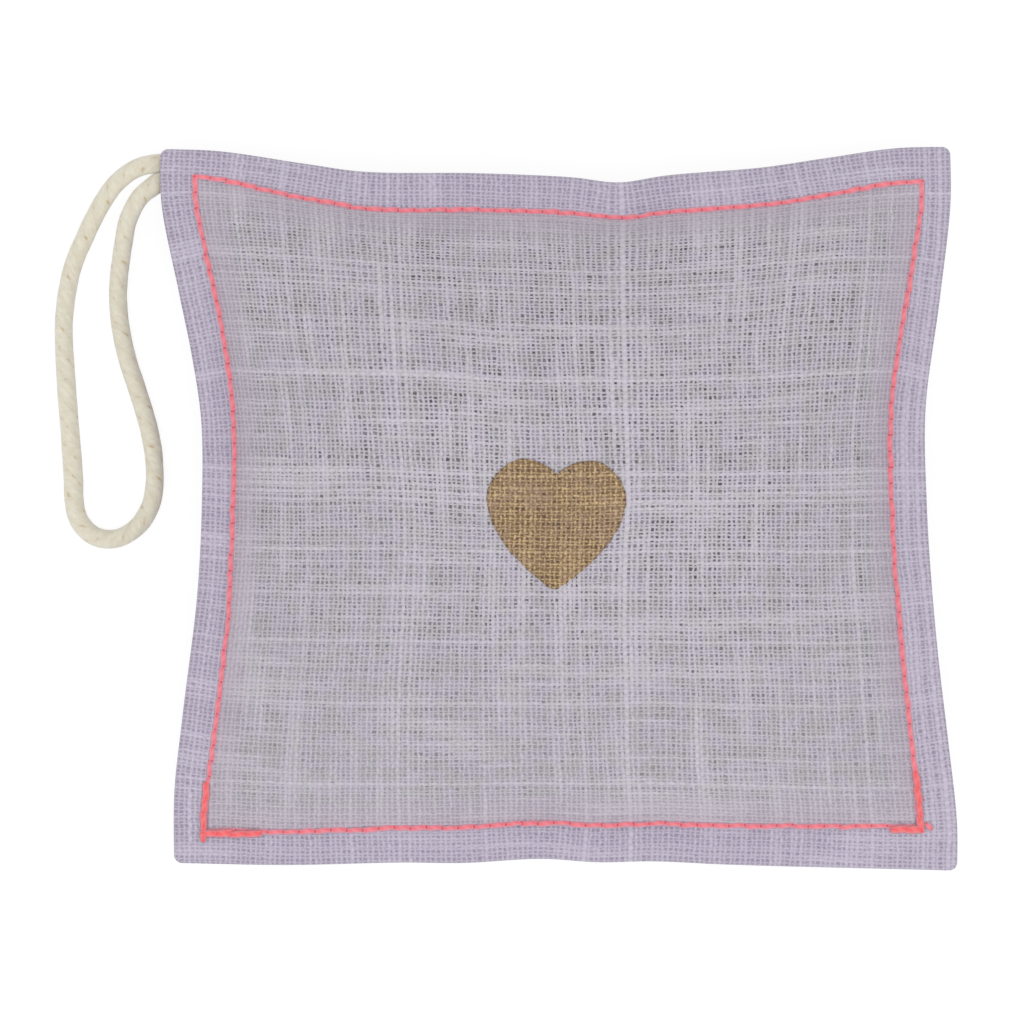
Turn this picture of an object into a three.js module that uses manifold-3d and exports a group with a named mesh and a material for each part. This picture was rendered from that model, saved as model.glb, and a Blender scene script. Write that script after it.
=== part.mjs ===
// Lavender sachet: two hemmed linen panels sewn round a filling of dried flowers, with a
// cord loop caught in the upper left corner. It lies on its back panel, as laid on a table.
// Millimetres, +Z up, +X to the right of the heart print, origin under the pouch's middle.
import * as THREE from 'three';
import { mergeVertices } from 'three/addons/utils/BufferGeometryUtils.js';
import Module from 'manifold-3d';

const wasm = await Module();
wasm.setup();

// Driving dimensions of the pouch
const POUCH_WIDTH = 110;
const POUCH_HEIGHT = 100;
const FLANGE_HEIGHT = 9; // the sewn edge over the table, at the middle of each side
const CORNER_DROOP = 3.5; // how much lower the sewn edge lies at the corners
const FRONT_CROWN = 12.5;
const TABLE_PRESS = 4; // how much of the back's crown the table flattens
const CORNER_RADIUS = 1.1;
const CLOTH = 0.4;
const HEM_WIDTH = 8.5; // cloth turned in behind the sewn edge
const FILL_CLEARANCE = 0.3;

// Each corner's lean away from the plain rectangle
const CORNER_LEAN = {
  bottomLeft: [0.4, 0.05],
  bottomRight: [0.8, -1.05],
  topRight: [-0.2, 1],
  topLeft: [-1.5, 0.65],
};

// How far the filling draws each side in: share along the side, then inward pull.
// Left and right run from bottom to top, top and bottom from left to right.
const SIDE_PULL = {
  left: [
    [0.1, 0.25], [0.2, 1.6], [0.37, 4.1], [0.5, 5.05],
    [0.62, 5.2], [0.71, 4.05], [0.8, 2.3], [0.92, 0.05],
  ],
  right: [
    [0.07, 0], [0.18, 1.2], [0.29, 2.55], [0.4, 3.5],
    [0.51, 4.05], [0.64, 4.05], [0.79, 1.8], [0.92, 0.05],
  ],
  top: [
    [0.08, 0.4], [0.18, 2.15], [0.26, 3.45], [0.4, 3.7], [0.52, 4.3],
    [0.58, 5.05], [0.64, 4.1], [0.76, 3], [0.84, 1.65], [0.93, 0.2],
  ],
  bottom: [
    [0.14, -0.1], [0.29, 0.55], [0.37, 0.6], [0.47, 1.3],
    [0.54, 0.9], [0.61, 1.1], [0.7, 0.75], [0.85, 0.3],
  ],
};

// How far the sewn edge waves up and down between its drooping corners: height, then the
// turn and the start of its wave across and up the pouch
const EDGE_WAVE = 0.5;
const WAVE_ACROSS = [4.7, 1.2];
const WAVE_UP = [5.3, -0.6];

// Broad swells where the filling has gathered: X and Y on the flat front, reach, then rise
const FILL_SWELLS = [
  [-27, 17, 15, 0.6], [17, 23, 16, 0.5], [31, -7, 15, 0.65], [-9, -23, 17, 0.7],
  [-33, -17, 13, 0.45], [23, -31, 13, 0.4], [3, 4, 13, -0.5], [-5, 34, 12, -0.4],
];

// Stitching: the topstitch runs this far inside each corner, along X and along Y
const STITCH_INSET = {
  bottomLeft: [4.3, 4.6],
  bottomRight: [5.4, 6],
  topRight: [3.95, 4.7],
  topLeft: [4.7, 3.7],
};
// How far it bows in between the corners: shares of one, two and three half waves
const STITCH_BOW = {
  left: [0.5, 0, 0.3],
  right: [0.65, -0.2, 0],
  top: [1.3, 0.2, 0.3],
  bottom: [0, 0, 0],
};
const STITCH_PITCH = 2.25;
const STITCH_THREAD = 0.5; // thread diameter in the middle of a stitch
const STITCH_WAIST = 0.3; // thread diameter where it dives into its needle hole
const STITCH_SEAT = 0.2; // clearance of a thread over the cloth
const GROOVE_WIDTH = 1.4; // the furrow that the topstitch draws in the cloth
const GROOVE_DEPTH = 0.3;
const STITCH_END_GAP = 1; // the side seams stop this short of the closing seam
const CLOSING_OVERRUN = 1.7; // the closing seam runs this far past the right side seam
const BACKTACK_GAP = 0.2; // the back-tack lies beside its seam, towards the edge
const BACKTACK_START = 0.5; // from the seam corner
const BACKTACK_STITCHES = { left: 3, right: 3, closing_left: 4, closing_right: 2 };
const SEAM_THREAD = 0.3; // the hidden seam that joined the panels before turning
const SEAM_INSET = 1.2;
const SEAM_CLEARANCE = 0.2;

// Hanging cord
const CORD_DIAMETER = 2.5;
const CORD_STEPS = 72;
const TAIL_WIDTH = 2.1; // the ends are pressed flat in the seam
const TAIL_THICKNESS = 1.3;
const TAIL_LENGTH = 4.2; // inside the edge
const UPPER_DROP = 1.95; // from the upper left corner down to the upper tail
const TAIL_GAP = 0.35; // between the tails
const SWING_REACH = 2.7; // how far outside the edge the cord bends
const SWING_DIP = 0.4; // how far the upper strand has sunk by there
const SWING_GAP = 1.6; // between the strands there
const JOIN_CLEARANCE = 0.4;
const CORD_SEAT = 0.05; // clearance of the cord over the table
const BULGE_MARGIN = 3; // the edge stands open over the tails and this far past them
const BULGE_RAMP = 6.5;

// The free loop from its upper end to its lower one: X and Y from the upper bend, then how
// much of the bend's height over the table is left.
const LOOP_ROUTE = [
  [0, 0, 1], [-1.35, -0.62, 0.97], [-2.65, -1.5, 0.9], [-3.85, -2.6, 0.8],
  [-5, -4.05, 0.64], [-6.15, -5.85, 0.46], [-7.25, -7.85, 0.28], [-8.4, -10.25, 0.12],
  [-9.4, -12.45, 0.03], [-10.2, -14.85, 0], [-11, -19.25, 0], [-11.25, -22.85, 0],
  [-10.9, -30.45, 0], [-10.35, -37.55, 0], [-9.9, -43.8, 0], [-9.8, -46.9, 0],
  [-9.48, -48.95, 0], [-8.58, -50.75, 0], [-7.15, -52.02, 0], [-5.3, -52.6, 0],
  [-3.38, -52.4, 0], [-1.6, -51.48, 0], [-0.16, -50.05, 0], [0.88, -48.25, 0],
  [1.45, -46.3, 0], [1.63, -44.1, 0], [1.5, -40.85, 0], [0.78, -36.85, 0],
  [-0.7, -31.85, 0], [-2.25, -27.05, 0], [-3.25, -22.25, 0], [-3.55, -17.85, 0.05],
  [-3.25, -14.4, 0.24], [-2.7, -11, 0.5], [-2.1, -8, 0.78], [-1.2, -5.9, 0.94],
  [0, -4.1, 1],
];

// Heart print
const HEART_WIDTH = 19.3;
const HEART_HEIGHT = 18.1;
const HEART_NOTCH = 2;
const HEART_CENTRE = [-0.55, -2.3];
// Its right half from the notch to the tip: each curve's two handles and its end, in half
// widths and half heights from the heart's middle. The first handle lies over the notch.
const HEART_CURVES = [
  [[0.3, 1], [0.5, 1]],
  [[0.72, 1], [1, 0.7], [1, 0.4]],
  [[1, -0.02], [0.6, -0.6], [0, -1]],
];
const NOTCH_HANDLE = [0.14, 0.65]; // across in half widths, and up in shares of the notch
const INK_THICKNESS = 0.15;
const INK_SEAT = 0.1;

// Crown section: how square its plan is and how steeply it leaves the seam
const CROWN_SQUARENESS = 2.9;
const CROWN_STEEPNESS = 0.74;
const DROOP_BAND = [0.35, 0.85];

// Mesh steps
const SIDE_STEPS = 11;
const CORNER_STEPS = 2;
const CROWN_DEPTHS = [0.045, 0.115, 0.19, 0.3, 0.45, 0.68];
const HEM_STEP = 0.006; // the hem's raw edge, as a share of the way to the centre
const HEM_SPACE = 3; // hem steps that no other ring of the mesh comes within
const HEART_STEPS = 7;
const MERGE_DISTANCE = 1e-4;
const THREAD_SIDES = 4;
const CORD_SIDES = 8;

const { lerp, clamp, smoothstep } = THREE.MathUtils;
const HALF_WIDTH = POUCH_WIDTH / 2;
const HALF_HEIGHT = POUCH_HEIGHT / 2;
const MEAN_HALF = (HALF_WIDTH + HALF_HEIGHT) / 2;
const INSETS = Object.values(STITCH_INSET).flat();
const STITCH_MARGIN = INSETS.reduce((sum, inset) => sum + inset, 0) / INSETS.length;
const HEM_DEPTH = (HEM_WIDTH - STITCH_MARGIN) / (MEAN_HALF - STITCH_MARGIN);
const GROOVE_DEPTH_SHARE = GROOVE_WIDTH / 2 / (MEAN_HALF - STITCH_MARGIN);
const SEAM_GAP = SEAM_THREAD + 2 * SEAM_CLEARANCE;
const BACK_CROWN = FLANGE_HEIGHT - SEAM_GAP / 2 - 2 * CLOTH + TABLE_PRESS;
const BACKTACK_OFFSET = STITCH_THREAD + BACKTACK_GAP;
const OVERRUN_SPACE = 2 * BACKTACK_OFFSET; // the right back-tack starts above the overrun
const CORD_RADIUS = CORD_DIAMETER / 2;
const TAIL_DROP = { upper: UPPER_DROP, lower: UPPER_DROP + TAIL_WIDTH + TAIL_GAP };
const SWING_TOP = UPPER_DROP + SWING_DIP;
const SWING_DROP = { upper: SWING_TOP, lower: SWING_TOP + CORD_DIAMETER + SWING_GAP };
const TAIL_EDGE = TAIL_DROP.lower + TAIL_WIDTH / 2;
const TAIL_DEPTH = (TAIL_EDGE - STITCH_INSET.topLeft[1]) / (MEAN_HALF - STITCH_MARGIN);
const BULGE_REACH = Math.max(TAIL_LENGTH, TAIL_EDGE) + BULGE_MARGIN;
const BULGE_FADE = BULGE_RAMP / (MEAN_HALF - STITCH_MARGIN);

// Corner order and signs, used by every corner table
const CORNERS = {
  bottomLeft: [-1, -1],
  bottomRight: [1, -1],
  topRight: [1, 1],
  topLeft: [-1, 1],
};

function cornerPoint(name) {
  const [signX, signY] = CORNERS[name];
  const [leanX, leanY] = CORNER_LEAN[name];
  return new THREE.Vector3(signX * HALF_WIDTH + leanX, signY * HALF_HEIGHT + leanY, 0);
}

// One side of the outline: a smooth curve between two corners, drawn in by its pulls
function sideCurve(from, to, inward, pulls) {
  const start = cornerPoint(from);
  const end = cornerPoint(to);
  const drawn = pulls.map(([share, pull]) => start.clone().lerp(end, share).addScaledVector(inward, pull));
  return new THREE.CatmullRomCurve3([start, ...drawn, end], false, 'centripetal');
}

const SIDES = {
  left: sideCurve('bottomLeft', 'topLeft', new THREE.Vector3(1, 0, 0), SIDE_PULL.left),
  right: sideCurve('bottomRight', 'topRight', new THREE.Vector3(-1, 0, 0), SIDE_PULL.right),
  top: sideCurve('topLeft', 'topRight', new THREE.Vector3(0, -1, 0), SIDE_PULL.top),
  bottom: sideCurve('bottomLeft', 'bottomRight', new THREE.Vector3(0, 1, 0), SIDE_PULL.bottom),
};

// The flat pouch as a patch between its four sides: u and v run from -1 to 1
function patchPoint(u, v) {
  const right = (u + 1) / 2;
  const up = (v + 1) / 2;
  const across = SIDES.left.getPointAt(up).lerp(SIDES.right.getPointAt(up), right);
  const along = SIDES.bottom.getPointAt(right).lerp(SIDES.top.getPointAt(right), up);
  const low = cornerPoint('bottomLeft').lerp(cornerPoint('bottomRight'), right);
  const high = cornerPoint('topLeft').lerp(cornerPoint('topRight'), right);
  return across.add(along).sub(low.lerp(high, up));
}

// How far the topstitch bows in at a place on its side, from -1 to 1
function bow(side, place) {
  const share = (place + 1) / 2;
  return STITCH_BOW[side].reduce((sum, part, i) => sum + part * Math.sin(Math.PI * (i + 1) * share), 0);
}

// The topstitch line as a four-cornered figure inside the patch: p and q run from -1 to 1
function stitchUv(p, q) {
  const bowX = (bow('left', q) * (1 - p)) / 2 - (bow('right', q) * (1 + p)) / 2;
  const bowY = (bow('bottom', p) * (1 - q)) / 2 - (bow('top', p) * (1 + q)) / 2;
  const uv = new THREE.Vector2(bowX / HALF_WIDTH, bowY / HALF_HEIGHT);
  for (const [name, [signX, signY]] of Object.entries(CORNERS)) {
    const weight = ((1 + signX * p) / 2) * ((1 + signY * q) / 2);
    const [insetX, insetY] = STITCH_INSET[name];
    uv.x += weight * signX * (1 - insetX / HALF_WIDTH);
    uv.y += weight * signY * (1 - insetY / HALF_HEIGHT);
  }
  return uv;
}

// A station stands on the outline. Its depth runs from -1 at the edge over 0 on the topstitch
// line to 1 at the centre.
function makeStation(p, q) {
  const fromCorner = Math.hypot((p + 1) * HALF_WIDTH, (1 - q) * HALF_HEIGHT);
  return { p, q, bulge: 1 - clamp((fromCorner - BULGE_REACH) / BULGE_RAMP, 0, 1) };
}

function makeStations() {
  const stations = [];
  const roundP = CORNER_RADIUS / HALF_WIDTH;
  const roundQ = CORNER_RADIUS / HALF_HEIGHT;
  const turns = [[1, -1], [1, 1], [-1, 1], [-1, -1]];
  turns.forEach(([signP, signQ], turn) => {
    const centre = [signP * (1 - roundP), signQ * (1 - roundQ)];
    for (let step = 0; step <= CORNER_STEPS; step += 1) {
      const angle = (Math.PI / 2) * (turn - 1 + step / CORNER_STEPS);
      stations.push(makeStation(centre[0] + roundP * Math.cos(angle), centre[1] + roundQ * Math.sin(angle)));
    }
    const last = stations.at(-1);
    const [nextP, nextQ] = turns[(turn + 1) % turns.length];
    const end = turn % 2 === 0 ? [last.p, nextQ * (1 - roundQ)] : [nextP * (1 - roundP), last.q];
    for (let step = 1; step < SIDE_STEPS; step += 1) {
      const share = step / SIDE_STEPS;
      stations.push(makeStation(lerp(last.p, end[0], share), lerp(last.q, end[1], share)));
    }
  });
  return stations;
}

const STATIONS = makeStations();

// Shift that brings the middle of the outline's box onto the origin
const OUTLINE_BOX = new THREE.Box3().setFromPoints(STATIONS.map(({ p, q }) => patchPoint(p, q)));
const PLAN_SHIFT = OUTLINE_BOX.getCenter(new THREE.Vector3()).negate();

function placeUv({ p, q }, depth) {
  const outer = new THREE.Vector2(p, q);
  const reach = 1 - Math.max(depth, 0);
  return depth < 0 ? stitchUv(p, q).lerp(outer, -depth) : stitchUv(p * reach, q * reach);
}

function planPoint(station, depth) {
  const uv = placeUv(station, depth);
  return patchPoint(uv.x, uv.y).add(PLAN_SHIFT);
}

function edgeWave({ x, y }) {
  const [turnX, startX] = WAVE_ACROSS;
  const [turnY, startY] = WAVE_UP;
  return EDGE_WAVE * Math.sin(turnX * x + startX) * Math.sin(turnY * y + startY);
}

function fillSwell(uv) {
  return FILL_SWELLS.reduce((sum, [x, y, reach, rise]) => {
    const away = Math.hypot(uv.x * HALF_WIDTH - x, uv.y * HALF_HEIGHT - y) / reach;
    return sum + rise * Math.exp(-away * away);
  }, 0);
}

// Heights of every layer at a station and depth
function layers(station, depth) {
  const reach = 1 - Math.max(depth, 0);
  const droop = smoothstep(Math.abs(station.p * station.q) * reach * reach, ...DROOP_BAND);
  const uv = placeUv(station, depth);
  const middle = FLANGE_HEIGHT - CORNER_DROOP * droop + edgeWave(uv) * (1 - droop);
  const rise = clamp((1 - depth) / (1 - GROOVE_DEPTH_SHARE), 0, 1);
  const slack = (share) => 1 - Math.abs(share * rise) ** CROWN_SQUARENESS;
  const crown = depth <= 0 ? 0 : Math.max(0, slack(station.p) * slack(station.q)) ** CROWN_STEEPNESS;
  const bulge = station.bulge * (1 - clamp((depth - TAIL_DEPTH) / BULGE_FADE, 0, 1));
  const overTail = TAIL_THICKNESS / 2 + SEAM_CLEARANCE;
  const above = lerp(SEAM_GAP / 2, overTail + SEAM_GAP - SEAM_CLEARANCE, bulge);
  const below = lerp(SEAM_GAP / 2, overTail, bulge);
  const plies = depth < HEM_DEPTH ? 2 : 1;
  const frontTop = middle + above + 2 * CLOTH + (FRONT_CROWN + fillSwell(uv)) * crown;
  const backBottom = Math.max(0, middle - below - 2 * CLOTH - BACK_CROWN * crown);
  return {
    middle,
    seamThread: middle + bulge * (overTail + SEAM_THREAD / 2),
    frontTop,
    frontInside: frontTop - plies * CLOTH,
    backInside: backBottom + plies * CLOTH,
    backBottom,
  };
}

function layerPoint(station, depth, layer, offset = 0) {
  return planPoint(station, depth).setZ(layers(station, depth)[layer] + offset);
}

function layerRing(depth, layer, offset = 0) {
  return STATIONS.map((station) => layerPoint(station, depth, layer, offset));
}

// The lowest or highest point of a layer, over the pouch's middle
function layerCentre(layer, offset = 0) {
  return layerPoint({ p: 0, q: 0, bulge: 0 }, 1, layer, offset);
}

// A closed skin from one end point, through rings with equally many points, to the other.
// Rings run counterclockwise as seen from the first end. Each quad is split along its shorter
// diagonal, so that skins that follow each other are split alike.
function loft(start, rings, end) {
  const count = rings[0].length;
  const points = [start, ...rings.flat(), end];
  const index = [];
  const at = (ring, k) => 1 + ring * count + (k % count);
  for (let k = 0; k < count; k += 1) {
    index.push(0, at(0, k), at(0, k + 1));
    index.push(points.length - 1, at(rings.length - 1, k + 1), at(rings.length - 1, k));
    for (let ring = 0; ring + 1 < rings.length; ring += 1) {
      const [a, b, c, d] = [at(ring, k), at(ring + 1, k), at(ring + 1, k + 1), at(ring, k + 1)];
      const across = points[a].distanceTo(points[c]) < points[b].distanceTo(points[d]);
      index.push(...(across ? [a, b, c, a, c, d] : [a, b, d, b, c, d]));
    }
  }
  return new THREE.BufferGeometry().setFromPoints(points).setIndex(index);
}

// A thread or pressed cord along points: each ring has its own half width and half height
function strand(points, halfWidths, halfHeights, sides) {
  const up = new THREE.Vector3(0, 0, 1);
  const rings = points.map((point, i) => {
    const before = points[Math.max(i - 1, 0)];
    const after = points[Math.min(i + 1, points.length - 1)];
    const right = after.clone().sub(before).cross(up).normalize();
    return Array.from({ length: sides }, (_, k) => {
      const angle = (2 * Math.PI * (k + 0.5)) / sides;
      const corner = point.clone().addScaledVector(right, halfWidths[i] * Math.cos(angle));
      return corner.addScaledVector(up, halfHeights[i] * Math.sin(angle));
    });
  });
  return loft(points[0], rings, points.at(-1));
}

// Conversions between three.js geometry and solids that can be joined and cut
function toSolid(geometry) {
  const bare = geometry.clone();
  bare.deleteAttribute('normal');
  bare.deleteAttribute('uv');
  const merged = mergeVertices(bare, MERGE_DISTANCE);
  const vertProperties = new Float32Array(merged.attributes.position.array);
  const triVerts = new Uint32Array(merged.index.array);
  return new wasm.Manifold(new wasm.Mesh({ numProp: 3, vertProperties, triVerts }));
}

function toGeometry(solid) {
  const { vertProperties, triVerts } = solid.getMesh();
  const geometry = new THREE.BufferGeometry();
  geometry.setAttribute('position', new THREE.BufferAttribute(vertProperties, 3));
  return geometry.setIndex(new THREE.BufferAttribute(triVerts, 1));
}

// Depths of the rings from the sewn edge to the centre, with both sides of the hem's raw edge
const FOLD_DEPTH = CLOTH / STITCH_MARGIN - 1;
const BANK_DEPTH = -GROOVE_WIDTH / 2 / STITCH_MARGIN;
const HEM_EDGE = [HEM_DEPTH - HEM_STEP, HEM_DEPTH + HEM_STEP];
const CLEAR_DEPTHS = CROWN_DEPTHS.filter((depth) => Math.abs(depth - HEM_DEPTH) > HEM_SPACE * HEM_STEP);
const INNER_DEPTHS = [...CLEAR_DEPTHS, ...HEM_EDGE].sort((a, b) => a - b);
const RISING_DEPTHS = [GROOVE_DEPTH_SHARE, ...INNER_DEPTHS];
const FALLING_DEPTHS = [...RISING_DEPTHS].reverse();

// The sewn edge of a panel from the groove out to the fold: its outer face dips at the stitches
function edgeRings(outerLayer, dip) {
  const bank = layerRing(BANK_DEPTH, outerLayer);
  const fold = layerRing(FOLD_DEPTH, outerLayer);
  return [layerRing(0, outerLayer, dip), bank, fold];
}

function frontPanel() {
  const outside = FALLING_DEPTHS.map((depth) => layerRing(depth, 'frontTop'));
  const edge = edgeRings('frontTop', -GROOVE_DEPTH);
  const nose = layerRing(-1, 'frontTop', -CLOTH);
  const under = [FOLD_DEPTH, 0, ...RISING_DEPTHS].map((depth) => layerRing(depth, 'frontInside'));
  return loft(layerCentre('frontTop'), [...outside, ...edge, nose, ...under], layerCentre('frontInside'));
}

function backPanel() {
  const inside = [...FALLING_DEPTHS, 0, FOLD_DEPTH].map((depth) => layerRing(depth, 'backInside'));
  const nose = layerRing(-1, 'backBottom', CLOTH);
  const edge = edgeRings('backBottom', GROOVE_DEPTH).reverse();
  const outside = RISING_DEPTHS.map((depth) => layerRing(depth, 'backBottom'));
  return loft(layerCentre('backInside'), [...inside, nose, ...edge, ...outside], layerCentre('backBottom'));
}

function lavenderFilling() {
  const top = [...INNER_DEPTHS].reverse().map((depth) => layerRing(depth, 'frontInside', -FILL_CLEARANCE));
  const bottom = INNER_DEPTHS.map((depth) => layerRing(depth, 'backInside', FILL_CLEARANCE));
  const peak = layerCentre('frontInside', -FILL_CLEARANCE);
  return loft(peak, [...top, ...bottom], layerCentre('backInside', FILL_CLEARANCE));
}

// A textbook heart, centred on its own box: a right half and its mirror image
function heartShape() {
  const half = HEART_WIDTH / 2;
  const top = HEART_HEIGHT / 2;
  const notch = top - HEART_NOTCH;
  const [handleX, handleUp] = NOTCH_HANDLE;
  const scaled = HEART_CURVES.map((curve) => curve.flatMap(([x, y]) => [x * half, y * top]));
  scaled[0].unshift(handleX * half, notch + handleUp * HEART_NOTCH);
  const outline = new THREE.Path().moveTo(0, notch);
  scaled.forEach((curve) => outline.bezierCurveTo(...curve));
  const right = outline.getPoints(HEART_STEPS);
  const left = right.slice(1, -1).reverse().map(({ x, y }) => new THREE.Vector2(-x, y));
  return new THREE.Shape([...right, ...left]);
}

// The ink film: the part of a thin skin over the crown that lies inside the heart
function heartPrint() {
  const high = FALLING_DEPTHS.map((depth) => layerRing(depth, 'frontTop', INK_SEAT + INK_THICKNESS));
  const low = RISING_DEPTHS.map((depth) => layerRing(depth, 'frontTop', INK_SEAT));
  const peak = layerCentre('frontTop', INK_SEAT + INK_THICKNESS);
  const skin = loft(peak, [...high, ...low], layerCentre('frontTop', INK_SEAT));
  const depth = FLANGE_HEIGHT + FRONT_CROWN + POUCH_WIDTH;
  const prism = new THREE.ExtrudeGeometry(heartShape(), { depth, bevelEnabled: false });
  prism.translate(HEART_CENTRE[0], HEART_CENTRE[1], 0);
  return toGeometry(toSolid(skin).intersect(toSolid(prism)));
}

// The stations that a seam passes, from the middle of one corner to the middle of another.
// The first run goes up the right side, along the top and down the left, the second closes
// the bottom.
const CORNER_MIDDLE = CORNER_STEPS / 2;
const TURN_STATIONS = CORNER_STEPS + SIDE_STEPS;
const ROUND_TWICE = [...STATIONS, ...STATIONS];
const CLOSING_START = CORNER_MIDDLE + 3 * TURN_STATIONS;
const SIDE_RUN = ROUND_TWICE.slice(CORNER_MIDDLE, CLOSING_START + 1);
const CLOSING_RUN = ROUND_TWICE.slice(CLOSING_START, CLOSING_START + TURN_STATIONS + 1);

// Points of a seam, evenly spaced along its stations, two to a stitch
function seamPoints(run, depth, layer, offset, trim) {
  const path = new THREE.CurvePath();
  const corners = run.map((station) => layerPoint(station, depth, layer, offset));
  for (let i = 0; i + 1 < corners.length; i += 1) {
    path.add(new THREE.LineCurve3(corners[i], corners[i + 1]));
  }
  const length = path.getLength();
  const sewn = length - 2 * trim;
  const count = 2 * Math.round(sewn / STITCH_PITCH);
  const share = (i) => Math.min(1, (trim + (sewn * i) / count) / length);
  return Array.from({ length: count + 1 }, (_, i) => path.getPointAt(share(i)));
}

// A sewn thread: thick in the middle of each stitch and thin at its needle holes, always
// seated on the cloth. face is 1 on the front and -1 on the back.
function stitchThread(points, face) {
  const radii = points.map((_, i) => (i % 2 === 0 ? STITCH_WAIST : STITCH_THREAD) / 2);
  const seated = points.map((point, i) => point.clone().setZ(point.z + face * radii[i]));
  return strand(seated, radii, radii, THREAD_SIDES);
}

const FACES = {
  needle: { layer: 'frontTop', sign: 1 },
  bobbin: { layer: 'backBottom', sign: -1 },
};

// A seam in the groove of the topstitch line
function groovePoints(face, run, trim) {
  const { layer, sign } = FACES[face];
  return seamPoints(run, 0, layer, sign * (STITCH_SEAT - GROOVE_DEPTH), trim);
}

function sideSeam(face) {
  return stitchThread(groovePoints(face, SIDE_RUN, STITCH_END_GAP), FACES[face].sign);
}

// The closing seam goes on in a straight line past its right corner
function closingSeam(face) {
  const { sign } = FACES[face];
  const points = groovePoints(face, CLOSING_RUN, 0);
  const onward = points.at(-1).clone().sub(points.at(-2)).setZ(0).setLength(CLOSING_OVERRUN / 2);
  const overCloth = new THREE.Vector3(0, 0, sign * GROOVE_DEPTH);
  const past = points.at(-1).clone().add(onward).add(overCloth);
  return stitchThread([...points, past, past.clone().add(onward)], sign);
}

// A back-tack starts near the first corner of a run and lies beside the topstitch line
function backTack(face, { run, start, stitches }) {
  const { layer, sign } = FACES[face];
  const points = seamPoints(run, -BACKTACK_OFFSET / STITCH_MARGIN, layer, sign * STITCH_SEAT, start);
  return stitchThread(points.slice(0, 2 * stitches + 1), sign);
}

const TACK_RUNS = {
  left: { run: [...SIDE_RUN].reverse(), start: BACKTACK_START },
  right: { run: SIDE_RUN, start: BACKTACK_START + OVERRUN_SPACE },
  closing_left: { run: CLOSING_RUN, start: BACKTACK_START },
  closing_right: { run: [...CLOSING_RUN].reverse(), start: BACKTACK_START },
};

// The hidden seam round three sides, which passes over the cord's tails
function seamThread() {
  const points = SIDE_RUN.map((station) => layerPoint(station, SEAM_INSET / STITCH_MARGIN - 1, 'seamThread'));
  const radii = points.map(() => SEAM_THREAD / 2);
  return strand(points, radii, radii, THREAD_SIDES);
}

// Where the cord crosses the edge, and where it bends outside it
function edgePoint(drop) {
  const station = makeStation(-1, 1 - drop / HALF_HEIGHT);
  return layerPoint(station, -1, 'middle');
}

const SWING_X = edgePoint(TAIL_DROP.upper).x - SWING_REACH;
const SWING_Z = edgePoint(TAIL_DROP.upper).z;

function swingPoint(drop) {
  return new THREE.Vector3(SWING_X, edgePoint(drop).y, SWING_Z);
}

// One end of the cord, pressed flat between the hems, up to where the free loop bends
function cordTail(which) {
  const edge = edgePoint(TAIL_DROP[which]);
  const bend = swingPoint(SWING_DROP[which]);
  const inner = edge.clone().setX(edge.x + TAIL_LENGTH);
  const way = bend.clone().sub(edge);
  const stub = bend.clone().addScaledVector(way.normalize(), -CORD_RADIUS - JOIN_CLEARANCE);
  const points = [inner, edge.clone().lerp(inner, 0.5), edge, stub];
  const halfWidths = points.map(() => TAIL_WIDTH / 2);
  const halfHeights = points.map(() => TAIL_THICKNESS / 2);
  return strand(points, halfWidths, halfHeights, CORD_SIDES);
}

// The free loop, lying on the table beside the pouch, with round ends on the bending axis
function hangingLoop() {
  const tableZ = CORD_RADIUS + CORD_SEAT;
  const start = swingPoint(SWING_DROP.upper);
  const route = LOOP_ROUTE.map(([x, y, lift]) => {
    return new THREE.Vector3(start.x + x, start.y + y, lerp(tableZ, SWING_Z, lift));
  });
  const end = swingPoint(SWING_DROP.lower);
  route[route.length - 1] = end;
  const path = new THREE.CatmullRomCurve3(route, false, 'centripetal');
  const section = new THREE.Shape(
    Array.from({ length: CORD_SIDES }, (_, k) => {
      const angle = (2 * Math.PI * (k + 0.5)) / CORD_SIDES;
      return new THREE.Vector2(CORD_RADIUS * Math.cos(angle), CORD_RADIUS * Math.sin(angle));
    }),
  );
  const tube = new THREE.ExtrudeGeometry(section, { steps: CORD_STEPS, extrudePath: path });
  const knob = new THREE.SphereGeometry(CORD_RADIUS, CORD_SIDES, CORD_SIDES / 2);
  const knobs = [start, end].map((point) => toSolid(knob.clone().translate(point.x, point.y, point.z)));
  return toGeometry(knobs.reduce((whole, next) => whole.add(next), toSolid(tube)));
}

// Finishes
const linen = new THREE.MeshStandardMaterial({ color: 0xbab1c2, roughness: 0.9, metalness: 0 });
const flowers = new THREE.MeshStandardMaterial({ color: 0x6d6478, roughness: 1, metalness: 0 });
const goldInk = new THREE.MeshStandardMaterial({ color: 0xa58a6c, roughness: 0.45, metalness: 0.6 });
const coralThread = new THREE.MeshStandardMaterial({ color: 0xf0727a, roughness: 0.6, metalness: 0 });
const plainThread = new THREE.MeshStandardMaterial({ color: 0xc9c2cf, roughness: 0.7, metalness: 0 });
const cotton = new THREE.MeshStandardMaterial({ color: 0xd8d0bc, roughness: 0.9, metalness: 0 });

function addPiece(group, name, geometry, material) {
  const mesh = new THREE.Mesh(geometry, material);
  mesh.name = name;
  group.add(mesh);
}

const pouch = new THREE.Group();
addPiece(pouch, 'front_panel', frontPanel(), linen);
addPiece(pouch, 'back_panel', backPanel(), linen);
addPiece(pouch, 'lavender_filling', lavenderFilling(), flowers);
addPiece(pouch, 'heart_print', heartPrint(), goldInk);

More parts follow.
